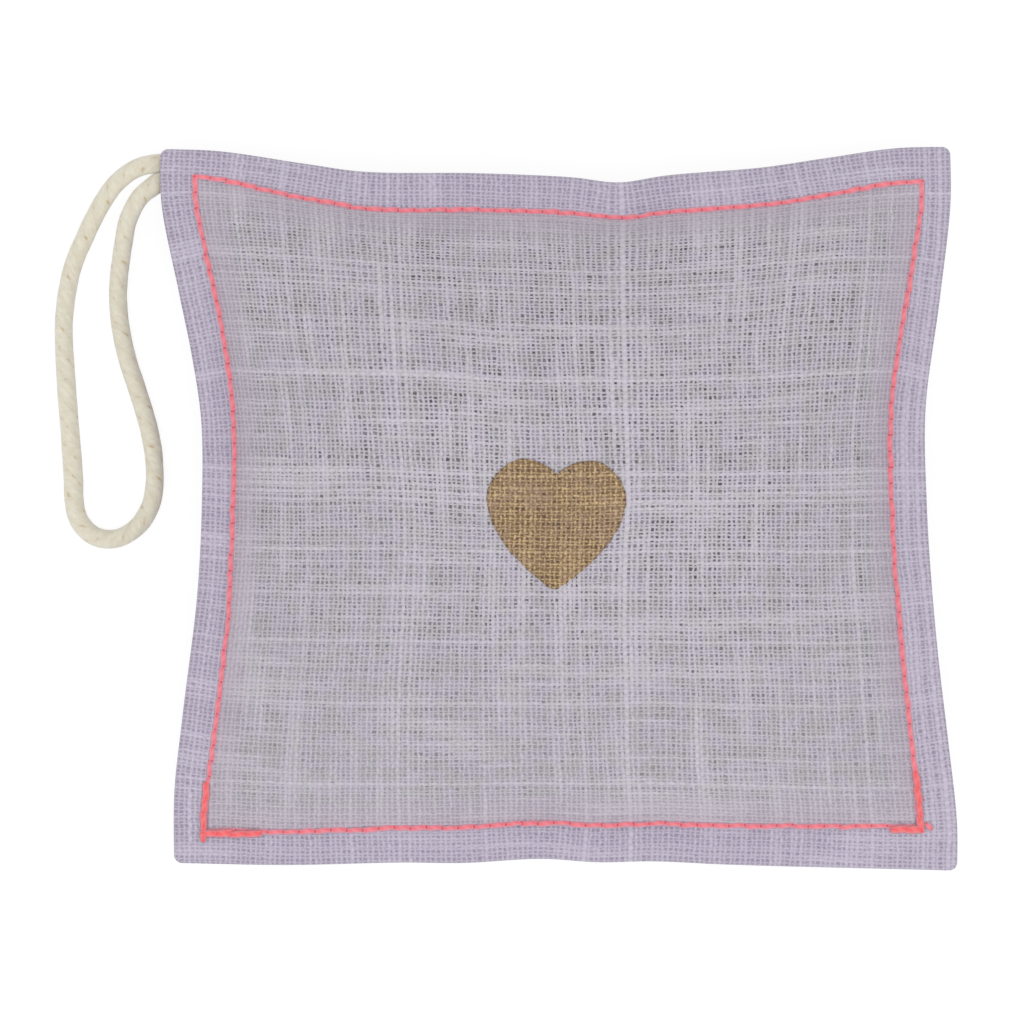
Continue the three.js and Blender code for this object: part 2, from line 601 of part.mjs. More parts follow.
const sewing = new THREE.Group();
addPiece(sewing, 'seam_thread', seamThread(), plainThread);
for (const face of Object.keys(FACES)) {
  addPiece(sewing, `topstitch_${face}_thread`, sideSeam(face), coralThread);
  addPiece(sewing, `closing_${face}_thread`, closingSeam(face), coralThread);
  for (const [place, tack] of Object.entries(TACK_RUNS)) {
    const sewn = { ...tack, stitches: BACKTACK_STITCHES[place] };
    addPiece(sewing, `backtack_${place}_${face}`, backTack(face, sewn), coralThread);
  }
}

const cord = new THREE.Group();
addPiece(cord, 'hanging_loop', hangingLoop(), cotton);
addPiece(cord, 'cord_tail_upper', cordTail('upper'), cotton);
addPiece(cord, 'cord_tail_lower', cordTail('lower'), cotton);

const sachet = new THREE.Group();
sachet.add(pouch, sewing, cord);

export default sachet;
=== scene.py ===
"""Lavender sachet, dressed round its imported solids: woven linen, print, sewing and cord.

Shapes are worked out in millimetres and become metres when a mesh is made. The pouch is a patch
between its four sides, with u and v from -1 to 1 across it and up it. The topstitch line is a
four-cornered figure inside the patch, with p and q from -1 to 1 inside that.
"""
import math
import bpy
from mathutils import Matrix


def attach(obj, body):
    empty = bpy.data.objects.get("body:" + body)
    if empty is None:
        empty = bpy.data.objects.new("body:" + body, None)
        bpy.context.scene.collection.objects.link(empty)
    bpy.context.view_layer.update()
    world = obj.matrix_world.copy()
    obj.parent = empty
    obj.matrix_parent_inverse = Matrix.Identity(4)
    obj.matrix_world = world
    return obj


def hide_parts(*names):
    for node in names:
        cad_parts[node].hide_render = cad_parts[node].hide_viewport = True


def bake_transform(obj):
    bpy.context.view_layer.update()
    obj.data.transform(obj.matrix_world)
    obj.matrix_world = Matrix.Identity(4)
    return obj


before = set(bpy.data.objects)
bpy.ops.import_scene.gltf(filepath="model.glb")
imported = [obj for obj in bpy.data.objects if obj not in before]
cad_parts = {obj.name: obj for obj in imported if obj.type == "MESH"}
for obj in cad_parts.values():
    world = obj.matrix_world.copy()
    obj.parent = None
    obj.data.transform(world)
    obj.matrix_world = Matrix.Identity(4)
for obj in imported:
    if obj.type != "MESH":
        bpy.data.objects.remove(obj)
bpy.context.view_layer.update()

from types import SimpleNamespace as Bundle

import bpy
import numpy as np
from mathutils import Vector
from mathutils.bvhtree import BVHTree

MM = 0.001
UP = np.array([0.0, 0.0, 1.0])

# Pouch
POUCH_WIDTH = 110
POUCH_HEIGHT = 100
HALF = np.array([POUCH_WIDTH, POUCH_HEIGHT]) / 2
FLANGE_HEIGHT = 9
CORNER_DROOP = 3.5
DROOP_BAND = (0.35, 0.85)
FRONT_CROWN = 12.5
BACK_CROWN = 11.85
CROWN_SQUARENESS = 2.9
CROWN_STEEPNESS = 0.74
CROWN_START = 0.986
CORNER_RADIUS = 1.1
CLOTH = 0.4
HEM_WIDTH = 8.5
HEM_SOFTNESS = 1.5
FLANGE_PLIES = 0.95
RIM = 1 - FLANGE_PLIES / 2 / HALF
SEAM_HALF_GAP = 0.2
FILL_CLEARANCE = 0.3
TABLE_SOFTNESS = 0.8
CORNERS = {"bottomLeft": (-1, -1), "bottomRight": (1, -1), "topRight": (1, 1), "topLeft": (-1, 1)}
CORNER_LEAN = {
    "bottomLeft": (0.4, 0.05), "bottomRight": (0.8, -1.05), "topRight": (-0.2, 1), "topLeft": (-1.5, 0.65),
}
# How far the filling draws each side in: share along the side, then inward pull
SIDE_PULL = {
    "left": [
        (0.1, 0.25), (0.2, 1.6), (0.37, 4.1), (0.5, 5.05),
        (0.62, 5.2), (0.71, 4.05), (0.8, 2.3), (0.92, 0.05),
    ],
    "right": [
        (0.07, 0), (0.18, 1.2), (0.29, 2.55), (0.4, 3.5),
        (0.51, 4.05), (0.64, 4.05), (0.79, 1.8), (0.92, 0.05),
    ],
    "top": [
        (0.08, 0.4), (0.18, 2.15), (0.26, 3.45), (0.4, 3.7), (0.52, 4.3),
        (0.58, 5.05), (0.64, 4.1), (0.76, 3), (0.84, 1.65), (0.93, 0.2),
    ],
    "bottom": [
        (0.14, -0.1), (0.29, 0.55), (0.37, 0.6), (0.47, 1.3),
        (0.54, 0.9), (0.61, 1.1), (0.7, 0.75), (0.85, 0.3),
    ],
}
# Sides: their two corners, the axis that they bound, and which end of it
SIDES = {
    "left": ("bottomLeft", "topLeft", 0, -1),
    "right": ("bottomRight", "topRight", 0, 1),
    "top": ("topLeft", "topRight", 1, 1),
    "bottom": ("bottomLeft", "bottomRight", 1, -1),
}
# The sewn edge's wave: height, then the turn and the start of its wave across and up the pouch
EDGE_WAVE = 0.5
WAVE_ACROSS = (4.7, 1.2)
WAVE_UP = (5.3, -0.6)
# Broad swells where the filling has gathered: X and Y on the flat front, reach, then rise
FILL_SWELLS = [
    (-27, 17, 15, 0.6), (17, 23, 16, 0.5), (31, -7, 15, 0.65), (-9, -23, 17, 0.7),
    (-33, -17, 13, 0.45), (23, -31, 13, 0.4), (3, 4, 13, -0.5), (-5, 34, 12, -0.4),
]

# Sewing
STITCH_INSET = {
    "bottomLeft": (4.3, 4.6), "bottomRight": (5.4, 6), "topRight": (3.95, 4.7), "topLeft": (4.7, 3.7),
}
# How far the topstitch bows in between its corners: shares of one, two and three half waves
STITCH_BOW = {"left": (0.5, 0, 0.3), "right": (0.65, -0.2, 0), "top": (1.3, 0.2, 0.3), "bottom": (0, 0, 0)}
STITCH_MARGIN = float(np.mean(list(STITCH_INSET.values())))
STITCH_PITCH = 2.25
STITCH_WIDTH = 0.92
GROOVE_WIDTH = 1.5
GROOVE_DEPTH = 0.4
STITCH_END_GAP = 1
SEAM_THREAD = 0.3
SEAM_INSET = 1.2

# Cord
CORD_DIAMETER = 2.5
CORD_SEAT = 0.05
TAIL_WIDTH = 2.1
TAIL_THICKNESS = 1.3
TAIL_DROPS = (1.95, 4.4)
SWING_DROP = 2.35
SWING_REACH = 2.7
BULGE_REACH = 7.2
BULGE_RAMP = 5
BULGE_RISE = {1: 1.0, -1: 0.5}
# The free loop: X and Y from the upper bend, then how much of the bend's height is left
LOOP_ROUTE = [
    (0, 0, 1), (-1.35, -0.62, 0.97), (-2.65, -1.5, 0.9), (-3.85, -2.6, 0.8),
    (-5, -4.05, 0.64), (-6.15, -5.85, 0.46), (-7.25, -7.85, 0.28), (-8.4, -10.25, 0.12),
    (-9.4, -12.45, 0.03), (-10.2, -14.85, 0), (-11, -19.25, 0), (-11.25, -22.85, 0),
    (-10.9, -30.45, 0), (-10.35, -37.55, 0), (-9.9, -43.8, 0), (-9.8, -46.9, 0),
    (-9.48, -48.95, 0), (-8.58, -50.75, 0), (-7.15, -52.02, 0), (-5.3, -52.6, 0),
    (-3.38, -52.4, 0), (-1.6, -51.48, 0), (-0.16, -50.05, 0), (0.88, -48.25, 0),
    (1.45, -46.3, 0), (1.63, -44.1, 0), (1.5, -40.85, 0), (0.78, -36.85, 0),
    (-0.7, -31.85, 0), (-2.25, -27.05, 0), (-3.25, -22.25, 0), (-3.55, -17.85, 0.05),
    (-3.25, -14.4, 0.24), (-2.7, -11, 0.5), (-2.1, -8, 0.78), (-1.2, -5.9, 0.94),
    (0, -4.1, 1),
]
# Each tail from its end in the hem out to the bend: X from the edge, then Y from where it crosses
UPPER_TAIL = [(4.2, 0.15), (2.1, 0.1), (0, 0), (-1.35, -0.14)]
LOWER_TAIL = [(4.2, 1.05), (2.1, 0.8), (1.05, 0.5), (0, 0), (-1.35, -0.95)]

# Heart print
HEART_WIDTH = 19.3
HEART_HEIGHT = 18.1
HEART_NOTCH = 2
HEART_CENTRE = np.array([-0.55, -2.3])
HEART_CURVES = [
    [(0.3, 1), (0.5, 1)],
    [(0.72, 1), (1, 0.7), (1, 0.4)],
    [(1, -0.02), (0.6, -0.6), (0, -1)],
]
NOTCH_HANDLE = (0.14, 0.65)

# Camera: straight down, as far above the table as the photograph's perspective asks
CAMERA_PLACE = (-6.62, -0.46, 1000)
FRAME_WIDTH = 144.04
FRAME_HEIGHT_OVER_TABLE = 8
SENSOR = 36
CAMERA_CLIP = (0.01, 20)


def ease(value, low, high):
    """0 below low, 1 above high and a smooth rise between them."""
    share = np.clip((value - low) / (high - low), 0, 1)
    return share * share * (3 - 2 * share)


def catmull_rom(points, steps):
    """A smooth curve through points, with steps to each span."""
    knots = np.asarray(points, float)
    padded = np.vstack([2 * knots[0] - knots[1], knots, 2 * knots[-1] - knots[-2]])
    share = np.linspace(0, 1, steps, endpoint=False)[:, None]
    found = []
    for a, b, c, d in zip(padded, padded[1:], padded[2:], padded[3:]):
        roots = [np.linalg.norm(end - start) ** 0.5 for start, end in ((a, b), (b, c), (c, d))]
        at = np.cumsum([0, *roots])
        place = at[1] + share * roots[1]

        def between(low, high, first, last):
            return low + (high - low) * (place - at[first]) / (at[last] - at[first])

        early = between(between(a, b, 0, 1), between(b, c, 1, 2), 0, 2)
        late = between(between(b, c, 1, 2), between(c, d, 2, 3), 1, 3)
        found.append(between(early, late, 1, 2))
    return np.vstack([*found, knots[-1:]])


def reach_of(points):
    """How far along the line each of its points lies."""
    return np.concatenate([[0], np.cumsum(np.linalg.norm(np.diff(points, axis=0), axis=1))])


def along_line(points, places):
    reach = reach_of(points)
    return np.stack([np.interp(places, reach, axis) for axis in points.T], -1)


def evenly(points, count):
    """The same line with count points, equally far apart along it."""
    return along_line(points, np.linspace(0, reach_of(points)[-1], count))


# Plan of the pouch
CORNER_POINTS = {name: np.array(sign) * HALF + CORNER_LEAN[name] for name, sign in CORNERS.items()}
STITCH_CORNERS = {name: sign * (1 - STITCH_INSET[name] / HALF) for name, sign in CORNERS.items()}
SIDE_STEPS = 40
SIDE_SAMPLES = 601
SIDE_SHARES = np.linspace(0, 1, SIDE_SAMPLES)


def side_line(name):
    start, end, axis, sign = SIDES[name]
    a, b = CORNER_POINTS[start], CORNER_POINTS[end]
    inward = -sign * np.eye(2)[axis]
    drawn = [a + (b - a) * share + inward * pull for share, pull in SIDE_PULL[name]]
    return evenly(catmull_rom([a, *drawn, b], SIDE_STEPS), SIDE_SAMPLES)


SIDE_LINES = {name: side_line(name) for name in SIDES}
OUTLINE = np.vstack(list(SIDE_LINES.values()))
PLAN_CENTRE = (OUTLINE.min(0) + OUTLINE.max(0)) / 2


def sides_of(p, q):
    """Each side's name, axis and end, the share along it, and how much it counts at a place."""
    for name, (_, _, axis, sign) in SIDES.items():
        along, across = (p, q) if axis else (q, p)
        yield name, axis, sign, (along + 1) / 2, np.asarray((1 + sign * across) / 2)


def corner_mix(p, q, values):
    """What lies between the four corners' values at a place."""
    total = 0
    for name, (sign_x, sign_y) in CORNERS.items():
        weight = np.asarray((1 + sign_x * p) / 2 * (1 + sign_y * q) / 2)
        total = total + weight[..., None] * values[name]
    return total


def patch(u, v):
    """Points of the flat pouch."""
    total = -corner_mix(u, v, CORNER_POINTS) - PLAN_CENTRE
    for name, _, _, share, near in sides_of(u, v):
        line = np.stack([np.interp(share, SIDE_SHARES, axis) for axis in SIDE_LINES[name].T], -1)
        total = total + line * near[..., None]
    return total


def bow(side, share):
    """How far the topstitch bows in at a share of its side."""
    return sum(part * np.sin(math.pi * (i + 1) * share) for i, part in enumerate(STITCH_BOW[side]))


def stitch_uv(p, q):
    """The topstitch figure's place in the patch."""
    found = np.moveaxis(corner_mix(p, q, STITCH_CORNERS), -1, 0)
    for name, axis, sign, share, near in sides_of(p, q):
        found[axis] -= sign * bow(name, share) * near / HALF[axis]
    return found


# Inside the topstitch line the drawn-in sides fade smoothly, as a stretched film does
HARMONICS = 40
FILM_SAMPLES = 801


def film_waves(name):
    """Sine shares of how far one side of the topstitch line bows from the straight line."""
    share = np.linspace(0, 1, FILM_SAMPLES)
    _, _, axis, sign = SIDES[name]
    place = [2 * share - 1] * 2
    place[axis] = np.full(FILM_SAMPLES, sign)
    line = patch(*stitch_uv(*place))
    off = line - line[0] - (line[-1] - line[0]) * share[:, None]
    return [2 * np.mean(off * np.sin(math.pi * k * share)[:, None], axis=0) for k in range(1, HARMONICS + 1)]


FILM_WAVES = {name: film_waves(name) for name in SIDES}
FILM_CORNERS = {name: patch(*stitch_uv(*np.array(sign, float))) for name, sign in CORNERS.items()}


def fade(number, share):
    """How much of a side's wave is left: 1 at that side and 0 at the opposite one."""
    reach = math.pi * number
    return (np.exp(reach * (share - 1)) - np.exp(-reach * (share + 1))) / (1 - math.exp(-2 * reach))


def film(p, q):
    """Plan points inside the topstitch line."""
    total = corner_mix(p, q, FILM_CORNERS)
    for name, _, _, share, near in sides_of(p, q):
        for number, off in enumerate(FILM_WAVES[name], 1):
            wave = np.sin(math.pi * number * share) * fade(number, near)
            total = total + wave[..., None] * off
    return total


# Grain: the yarns cross the sewn edge squarely and lie straight inside it
GRAIN_TURN = 1.2
GRAIN_SAMPLES = 41


def side_slope(name):
    """How much a side leans along its run, evened out over a few millimetres."""
    step = np.gradient(SIDE_LINES[name], axis=0)
    axis = SIDES[name][2]
    padded = np.pad(step[:, axis] / step[:, 1 - axis], GRAIN_SAMPLES // 2, mode="edge")
    return GRAIN_TURN * np.convolve(padded, np.full(GRAIN_SAMPLES, 1 / GRAIN_SAMPLES), "valid")


SIDE_SLOPES = {name: side_slope(name) for name in SIDES}


def cloth_at(u, v, p, q):
    """Places on the cut cloth, in millimetres."""
    flat = [u * HALF[0], v * HALF[1]]
    for (name, axis, sign, share, _), (*_, near) in zip(sides_of(u, v), sides_of(p, q)):
        seam = stitch_uv(p, sign)[1] if axis else stitch_uv(sign, q)[0]
        clamp = np.maximum if sign > 0 else np.minimum
        off = HALF[axis] * (clamp((u, v)[axis], seam) - sign)
        flat[1 - axis] = flat[1 - axis] + np.interp(share, SIDE_SHARES, SIDE_SLOPES[name]) * off * near
    return np.stack(flat, -1)


# Grid of the panels: dense by the seam, with extra lines across the sewn edge
BODY_LINES = 60
EDGE_LINES = 11
SEAM_CROWDING = 0.28


def grid_lines():
    inner = np.linspace(0, 1, BODY_LINES + 1)
    inner = inner * (1 + SEAM_CROWDING) - SEAM_CROWDING * inner**3
    outer = 1 + np.linspace(0, 1, EDGE_LINES + 1)[1:]
    half = np.concatenate([inner, outer])
    return np.concatenate([-half[:0:-1], half])


def round_corner(first, second):
    """Pulls the corners of a square into arcs, which the fold then makes wider."""
    radii = (CORNER_RADIUS - FLANGE_PLIES / 2) / HALF
    over = [np.clip((np.abs(axis) - limit + radius) / radius, 0, 1)
            for axis, limit, radius in zip((first, second), RIM, radii)]
    rounded = []
    for axis, limit, radius, own, other in zip((first, second), RIM, radii, over, over[::-1]):
        pulled = np.sign(axis) * (limit - radius + radius * own * np.sqrt(1 - other**2 / 2))
        rounded.append(np.where(own > 0, pulled, axis))
    return rounded


class Panel:
    """The grid shared by both panels: its places in the plan and its heights."""

    def __init__(self):
        lines = grid_lines()
        a, b = np.meshgrid(lines, lines, indexing="ij")
        self.p = np.clip(a, -1, 1)
        self.q = np.clip(b, -1, 1)
        out = np.maximum(np.abs(a), np.abs(b)) - 1
        u, v = stitch_uv(self.p, self.q)
        u = u + (np.sign(a) * RIM[0] - u) * np.maximum(np.abs(a) - 1, 0)
        v = v + (np.sign(b) * RIM[1] - v) * np.maximum(np.abs(b) - 1, 0)
        self.u, self.v = round_corner(u, v)
        self.plan = np.where((out <= 0)[..., None], film(self.p, self.q), patch(self.u, self.v))
        self.cloth = cloth_at(self.u, self.v, self.p, self.q)
        inward = [(1 - np.abs(axis)) * (half - STITCH_MARGIN) for axis, half in zip((self.p, self.q), HALF)]
        self.inset = STITCH_MARGIN * (1 - np.maximum(out, 0)) + np.minimum(*inward)
        self.middle = middle_height(self.u, self.v)
        self.crown = crown_share(self.p, self.q)
        self.bulge = bulge_share(self.u, self.v)
        self.groove = self.groove_share(u, v)

    def groove_share(self, u, v):
        """1 on the topstitch line, falling to 0 on both banks of its furrow."""
        side_p, side_q = (np.where(axis < 0, -1.0, 1.0) for axis in (self.p, self.q))
        stitch_u, stitch_v = stitch_uv(side_p, side_q)
        seam_u, _ = stitch_uv(side_p, self.q)
        _, seam_v = stitch_uv(self.p, side_q)
        off_x = np.abs(np.abs(u) - np.abs(seam_u)) * HALF[0]
        off_y = np.abs(np.abs(v) - np.abs(seam_v)) * HALF[1]
        off_x = np.where(np.abs(v) > np.abs(stitch_v), GROOVE_WIDTH, off_x)
        off_y = np.where(np.abs(u) > np.abs(stitch_u), GROOVE_WIDTH, off_y)
        return 1 - ease(np.minimum(off_x, off_y), 0, GROOVE_WIDTH / 2)


def middle_height(u, v):
    """The seam plane between the panels: it droops to the corners and waves a little."""
    droop = ease(np.abs(u * v), *DROOP_BAND)
    wave = np.sin(WAVE_ACROSS[0] * u + WAVE_ACROSS[1]) * np.sin(WAVE_UP[0] * v + WAVE_UP[1])
    return FLANGE_HEIGHT - CORNER_DROOP * droop + EDGE_WAVE * wave * (1 - droop)


def crown_share(p, q):
    slack = [1 - np.clip(np.abs(axis) / CROWN_START, 0, 1) ** CROWN_SQUARENESS for axis in (p, q)]
    return np.maximum(slack[0] * slack[1], 0) ** CROWN_STEEPNESS


def fill_swell(u, v):
    total = 0
    for x, y, reach, rise in FILL_SWELLS:
        away = np.hypot(u * HALF[0] - x, v * HALF[1] - y) / reach
        total = total + rise * np.exp(-away**2)
    return total


def crown_height(u, v, p, q, sign):
    """How high a panel stands over its seam: sign is 1 for the front and -1 for the back."""
    full = FRONT_CROWN + fill_swell(u, v) if sign > 0 else BACK_CROWN
    return full * crown_share(p, q)


def bulge_share(u, v):
    """1 over the cord's tails in the upper left corner."""
    away = np.hypot((u + 1) * HALF[0], (1 - v) * HALF[1])
    return 1 - ease(away, BULGE_REACH - BULGE_RAMP / 2, BULGE_REACH + BULGE_RAMP)


WAVE_SPREAD = (0.75, 1.5)


def lumps(places, wavelength, count, seed):
    """Smooth random swells, about 1 high, with wavelengths round the given one."""
    draw = np.random.default_rng(seed)
    total = 0
    for _ in range(count):
        angle = draw.uniform(0, 2 * math.pi)
        number = 2 * math.pi / (wavelength * draw.uniform(*WAVE_SPREAD))
        phase = draw.uniform(0, 2 * math.pi)
        across = places[..., 0] * math.cos(angle) + places[..., 1] * math.sin(angle)
        total = total + np.cos(across * number + phase)
    return total * math.sqrt(2 / count)


BUD_HEIGHT = 0.12
BUD_SPACING = 4.2
BUD_WAVES = 40
BUD_BAND = (0.1, 0.6)
PUCKER_HEIGHT = 0.2
PUCKER_SPACING = 7
PUCKER_WAVES = 24
PUCKER_REACH = 6
PUCKER_BAND = (0, 0.35)
LANE_STEPS = (300, 700)


def body_relief(panel, seed):
    """Buds that press through the cloth, and puckers that fade in from the seam."""
    buds = BUD_HEIGHT * lumps(panel.plan, BUD_SPACING, BUD_WAVES, seed) * ease(panel.crown, *BUD_BAND)
    near = np.exp(-np.maximum(panel.inset - STITCH_MARGIN, 0) / PUCKER_REACH)
    near = near * ease(panel.crown, *PUCKER_BAND)
    sideways = np.abs(panel.p) > np.abs(panel.q)
    along = np.where(sideways, panel.plan[..., 1], panel.plan[..., 0])
    lane = np.where(sideways, np.sign(panel.p) * LANE_STEPS[0], np.sign(panel.q) * LANE_STEPS[1])
    folds = lumps(np.stack([along + lane, lane * 0], -1), PUCKER_SPACING, PUCKER_WAVES, seed + 2)
    return buds + PUCKER_HEIGHT * folds * near


# Cloth simulation: two flat sheets, pinned along the topstitch and blown up by the filling
SIM_LINES = 61
SIM_FRAMES = 20
SIM_QUALITY = 6
SIM_UNIT = 100.0
SIM_PRESSURE = 4.0
SIM_MOST = 1.0
SIM_EVENING = 3


def sim_mesh():
    """The pouch inside the topstitch as drawn, its flat cloth, its faces and its pinned points."""
    lines = np.linspace(-1, 1, SIM_LINES)
    p, q = np.meshgrid(lines, lines, indexing="ij")
    u, v = stitch_uv(p, q)
    plan = film(p, q).reshape(-1, 2)
    flat = np.stack([u * HALF[0], v * HALF[1]], -1).reshape(-1, 2)
    drawn = []
    cut = []
    for sign in (1, -1):
        seam = sign * (SEAM_HALF_GAP + FLANGE_PLIES)
        level = middle_height(u, v) + seam + sign * crown_height(u, v, p, q, sign)
        drawn.append(np.column_stack([plan, level.ravel()]))
        cut.append(np.column_stack([flat, np.full(len(flat), FLANGE_HEIGHT + seam)]))
    count = SIM_LINES**2
    rim = rim_indices(SIM_LINES, SIM_LINES)
    ahead = np.roll(rim, -1)
    edge = np.stack([rim, rim + count, ahead + count, ahead], -1)
    sheets = [grid_faces(SIM_LINES, SIM_LINES, 0, False), grid_faces(SIM_LINES, SIM_LINES, count, True)]
    return np.vstack(drawn), np.vstack(cut), np.vstack([*sheets, edge]).tolist(), [*rim, *(rim + count)]


def settle():
    """How far the simulated cloth moves up or down from the drawn crown, for both panels."""
    drawn, cut, faces, pinned = sim_mesh()
    scene = bpy.context.scene
    mesh = bpy.data.meshes.new("settling")
    mesh.from_pydata((drawn / SIM_UNIT).tolist(), [], faces)
    pouch = bpy.data.objects.new("settling", mesh)
    scene.collection.objects.link(pouch)
    pouch.shape_key_add(name="drawn")
    pouch.shape_key_add(name="cut").data.foreach_set("co", (cut / SIM_UNIT).ravel())
    pouch.vertex_groups.new(name="pinned").add([int(index) for index in pinned], 1.0, "REPLACE")
    cloth = pouch.modifiers.new("cloth", "CLOTH")
    cloth.settings.rest_shape_key = mesh.shape_keys.key_blocks["cut"]
    cloth.settings.vertex_group_mass = "pinned"
    cloth.settings.quality = SIM_QUALITY
    cloth.settings.use_pressure = True
    cloth.settings.uniform_pressure_force = SIM_PRESSURE
    cloth.settings.effector_weights.gravity = 0
    for number in range(1, SIM_FRAMES + 1):
        scene.frame_set(number)
    shaped = pouch.evaluated_get(bpy.context.evaluated_depsgraph_get())
    found = np.empty(len(drawn) * 3)
    shaped.data.vertices.foreach_get("co", found)
    scene.frame_set(1)
    bpy.data.objects.remove(pouch)
    bpy.data.meshes.remove(mesh)
    moved = (found.reshape(-1, 3) * SIM_UNIT - drawn)[:, 2].reshape(2, SIM_LINES, SIM_LINES)
    return {1: moved[0], -1: moved[1]}


def on_grid(field, panel):
    """A field on the simulation's even grid, read at the panel's own points and evened out."""
    even = np.linspace(-1, 1, SIM_LINES)
    for places in (panel.p[:, 0], panel.q[0]):
        field = np.array([np.interp(places, even, line) for line in field.T])
    for _ in range(SIM_EVENING):
        for axis in (0, 1):
            field = (np.roll(field, 1, axis) + 2 * field + np.roll(field, -1, axis)) / 4
    return field


def thickness(panel):
    """Two plies in the sewn edge and the hem, one in the body."""
    single = ease(panel.inset, HEM_WIDTH - HEM_SOFTNESS, HEM_WIDTH + HEM_SOFTNESS)
    return CLOTH + (FLANGE_PLIES - CLOTH) * (1 - single)


def panel_faces(panel, sign, seed, moved):
    """Outer and inner heights of a panel: sign is 1 for the front and -1 for the back."""
    rise = SEAM_HALF_GAP + FLANGE_PLIES + panel.bulge * BULGE_RISE[sign]
    rise = rise + crown_height(panel.u, panel.v, panel.p, panel.q, sign) + body_relief(panel, seed)
    if moved is not None:
        rise = rise + SIM_MOST * np.tanh(sign * on_grid(moved[sign], panel) / SIM_MOST)
    outer = panel.middle + sign * (rise - GROOVE_DEPTH * panel.groove)
    if sign < 0:
        outer = (outer + np.sqrt(outer**2 + TABLE_SOFTNESS**2)) / 2
    inner = outer - sign * (thickness(panel) - GROOVE_DEPTH * panel.groove)
    return outer, inner


# Meshes
def make_piece(name, points, faces, material):
    mesh = bpy.data.meshes.new(name)
    mesh.from_pydata((np.asarray(points) * MM).tolist(), [], faces)
    mesh.polygons.foreach_set("use_smooth", np.ones(len(mesh.polygons), bool))
    mesh.materials.append(material)
    piece = bpy.data.objects.new(name, mesh)
    bpy.context.scene.collection.objects.link(piece)
    return piece


def set_uv(piece, layer, corner_uv):
    uv_layer = piece.data.uv_layers.new(name=layer, do_init=False)
    uv_layer.uv.foreach_set("vector", np.asarray(corner_uv, np.float32).ravel())


def finish_piece(piece, body, slot, *nodes):
    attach(piece, body)
    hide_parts(*nodes)


def grid_faces(rows, columns, start, flip):
    index = start + np.arange(rows * columns).reshape(rows, columns)
    quads = np.stack([index[:-1, :-1], index[1:, :-1], index[1:, 1:], index[:-1, 1:]], -1).reshape(-1, 4)
    return quads[:, ::-1] if flip else quads


def rim_indices(rows, columns):
    """Grid indices round the rim, counterclockwise from above."""
    index = np.arange(rows * columns).reshape(rows, columns)
    return np.concatenate([index[:, 0], index[-1, 1:], index[-2::-1, -1], index[0, -2:0:-1]])


FOLD_RINGS = 5
BAKE_SPAN = 120
BAKE_MIDDLE = (0.5, 0.455)
BAKE_STRIP = (0.92, 0.07)


def shell_piece(name, panel, outer, inner, sign, material, cut=...):
    """A closed shell from its outer and inner heights over the plan, joined round the rim by a fold."""
    rows, columns = outer.shape
    count = rows * columns
    flat, cloth = (places[cut].reshape(-1, 2) for places in (panel.plan, panel.cloth))
    sheets = [np.column_stack([flat, level.ravel()]) for level in (outer, inner)]
    rim = rim_indices(rows, columns)
    way = np.roll(flat[rim], -1, axis=0) - np.roll(flat[rim], 1, axis=0)
    outward = np.column_stack([way[:, 1], -way[:, 0], np.zeros(len(rim))])
    outward /= np.linalg.norm(outward, axis=1)[:, None]
    middle = (sheets[0][rim] + sheets[1][rim]) / 2
    radius = np.abs(sheets[0][rim, 2] - sheets[1][rim, 2])[:, None] / 2
    turns = np.linspace(0, math.pi, FOLD_RINGS + 2)
    up = sign * UP
    rings = [middle + radius * (outward * math.sin(turn) + up * math.cos(turn)) for turn in turns[1:-1]]
    last = count + FOLD_RINGS * len(rim)
    chain = [rim, *np.arange(count, last).reshape(FOLD_RINGS, -1), last + rim]
    fold = [np.stack([a, b, np.roll(b, -1), np.roll(a, -1)], -1) for a, b in zip(chain, chain[1:])]
    groups = [
        grid_faces(rows, columns, 0, sign < 0),
        np.vstack(fold)[:, ::sign],
        grid_faces(rows, columns, last, sign > 0),
    ]
    faces = np.vstack(groups)
    piece = make_piece(name, np.vstack([sheets[0], *rings, sheets[1]]), faces.tolist(), material)
    rolled = [cloth[rim] + outward[:, :2] * radius * turn for turn in turns]
    main = np.vstack([cloth, *rolled[1:-1], cloth])
    fold_main = main.copy()
    fold_main[chain[-1]] = rolled[-1]
    corners = [places[group].reshape(-1, 2) for places, group in zip((main, fold_main, main), groups)]
    set_uv(piece, "cloth", np.vstack(corners))
    inset = panel.inset[cut].ravel()
    place = np.concatenate([inset, np.zeros(FOLD_RINGS * len(rim)), inset])[faces.ravel()]
    set_uv(piece, "place", np.column_stack([place, place]))
    bake = [BAKE_MIDDLE + corner / BAKE_SPAN for corner in corners]
    strip = bake[2] - BAKE_MIDDLE + 0.5
    strip[:, 1] = BAKE_STRIP[0] + BAKE_STRIP[1] * strip[:, 1]
    set_uv(piece, "OFBake", np.vstack([*bake[:2], strip]))
    return piece


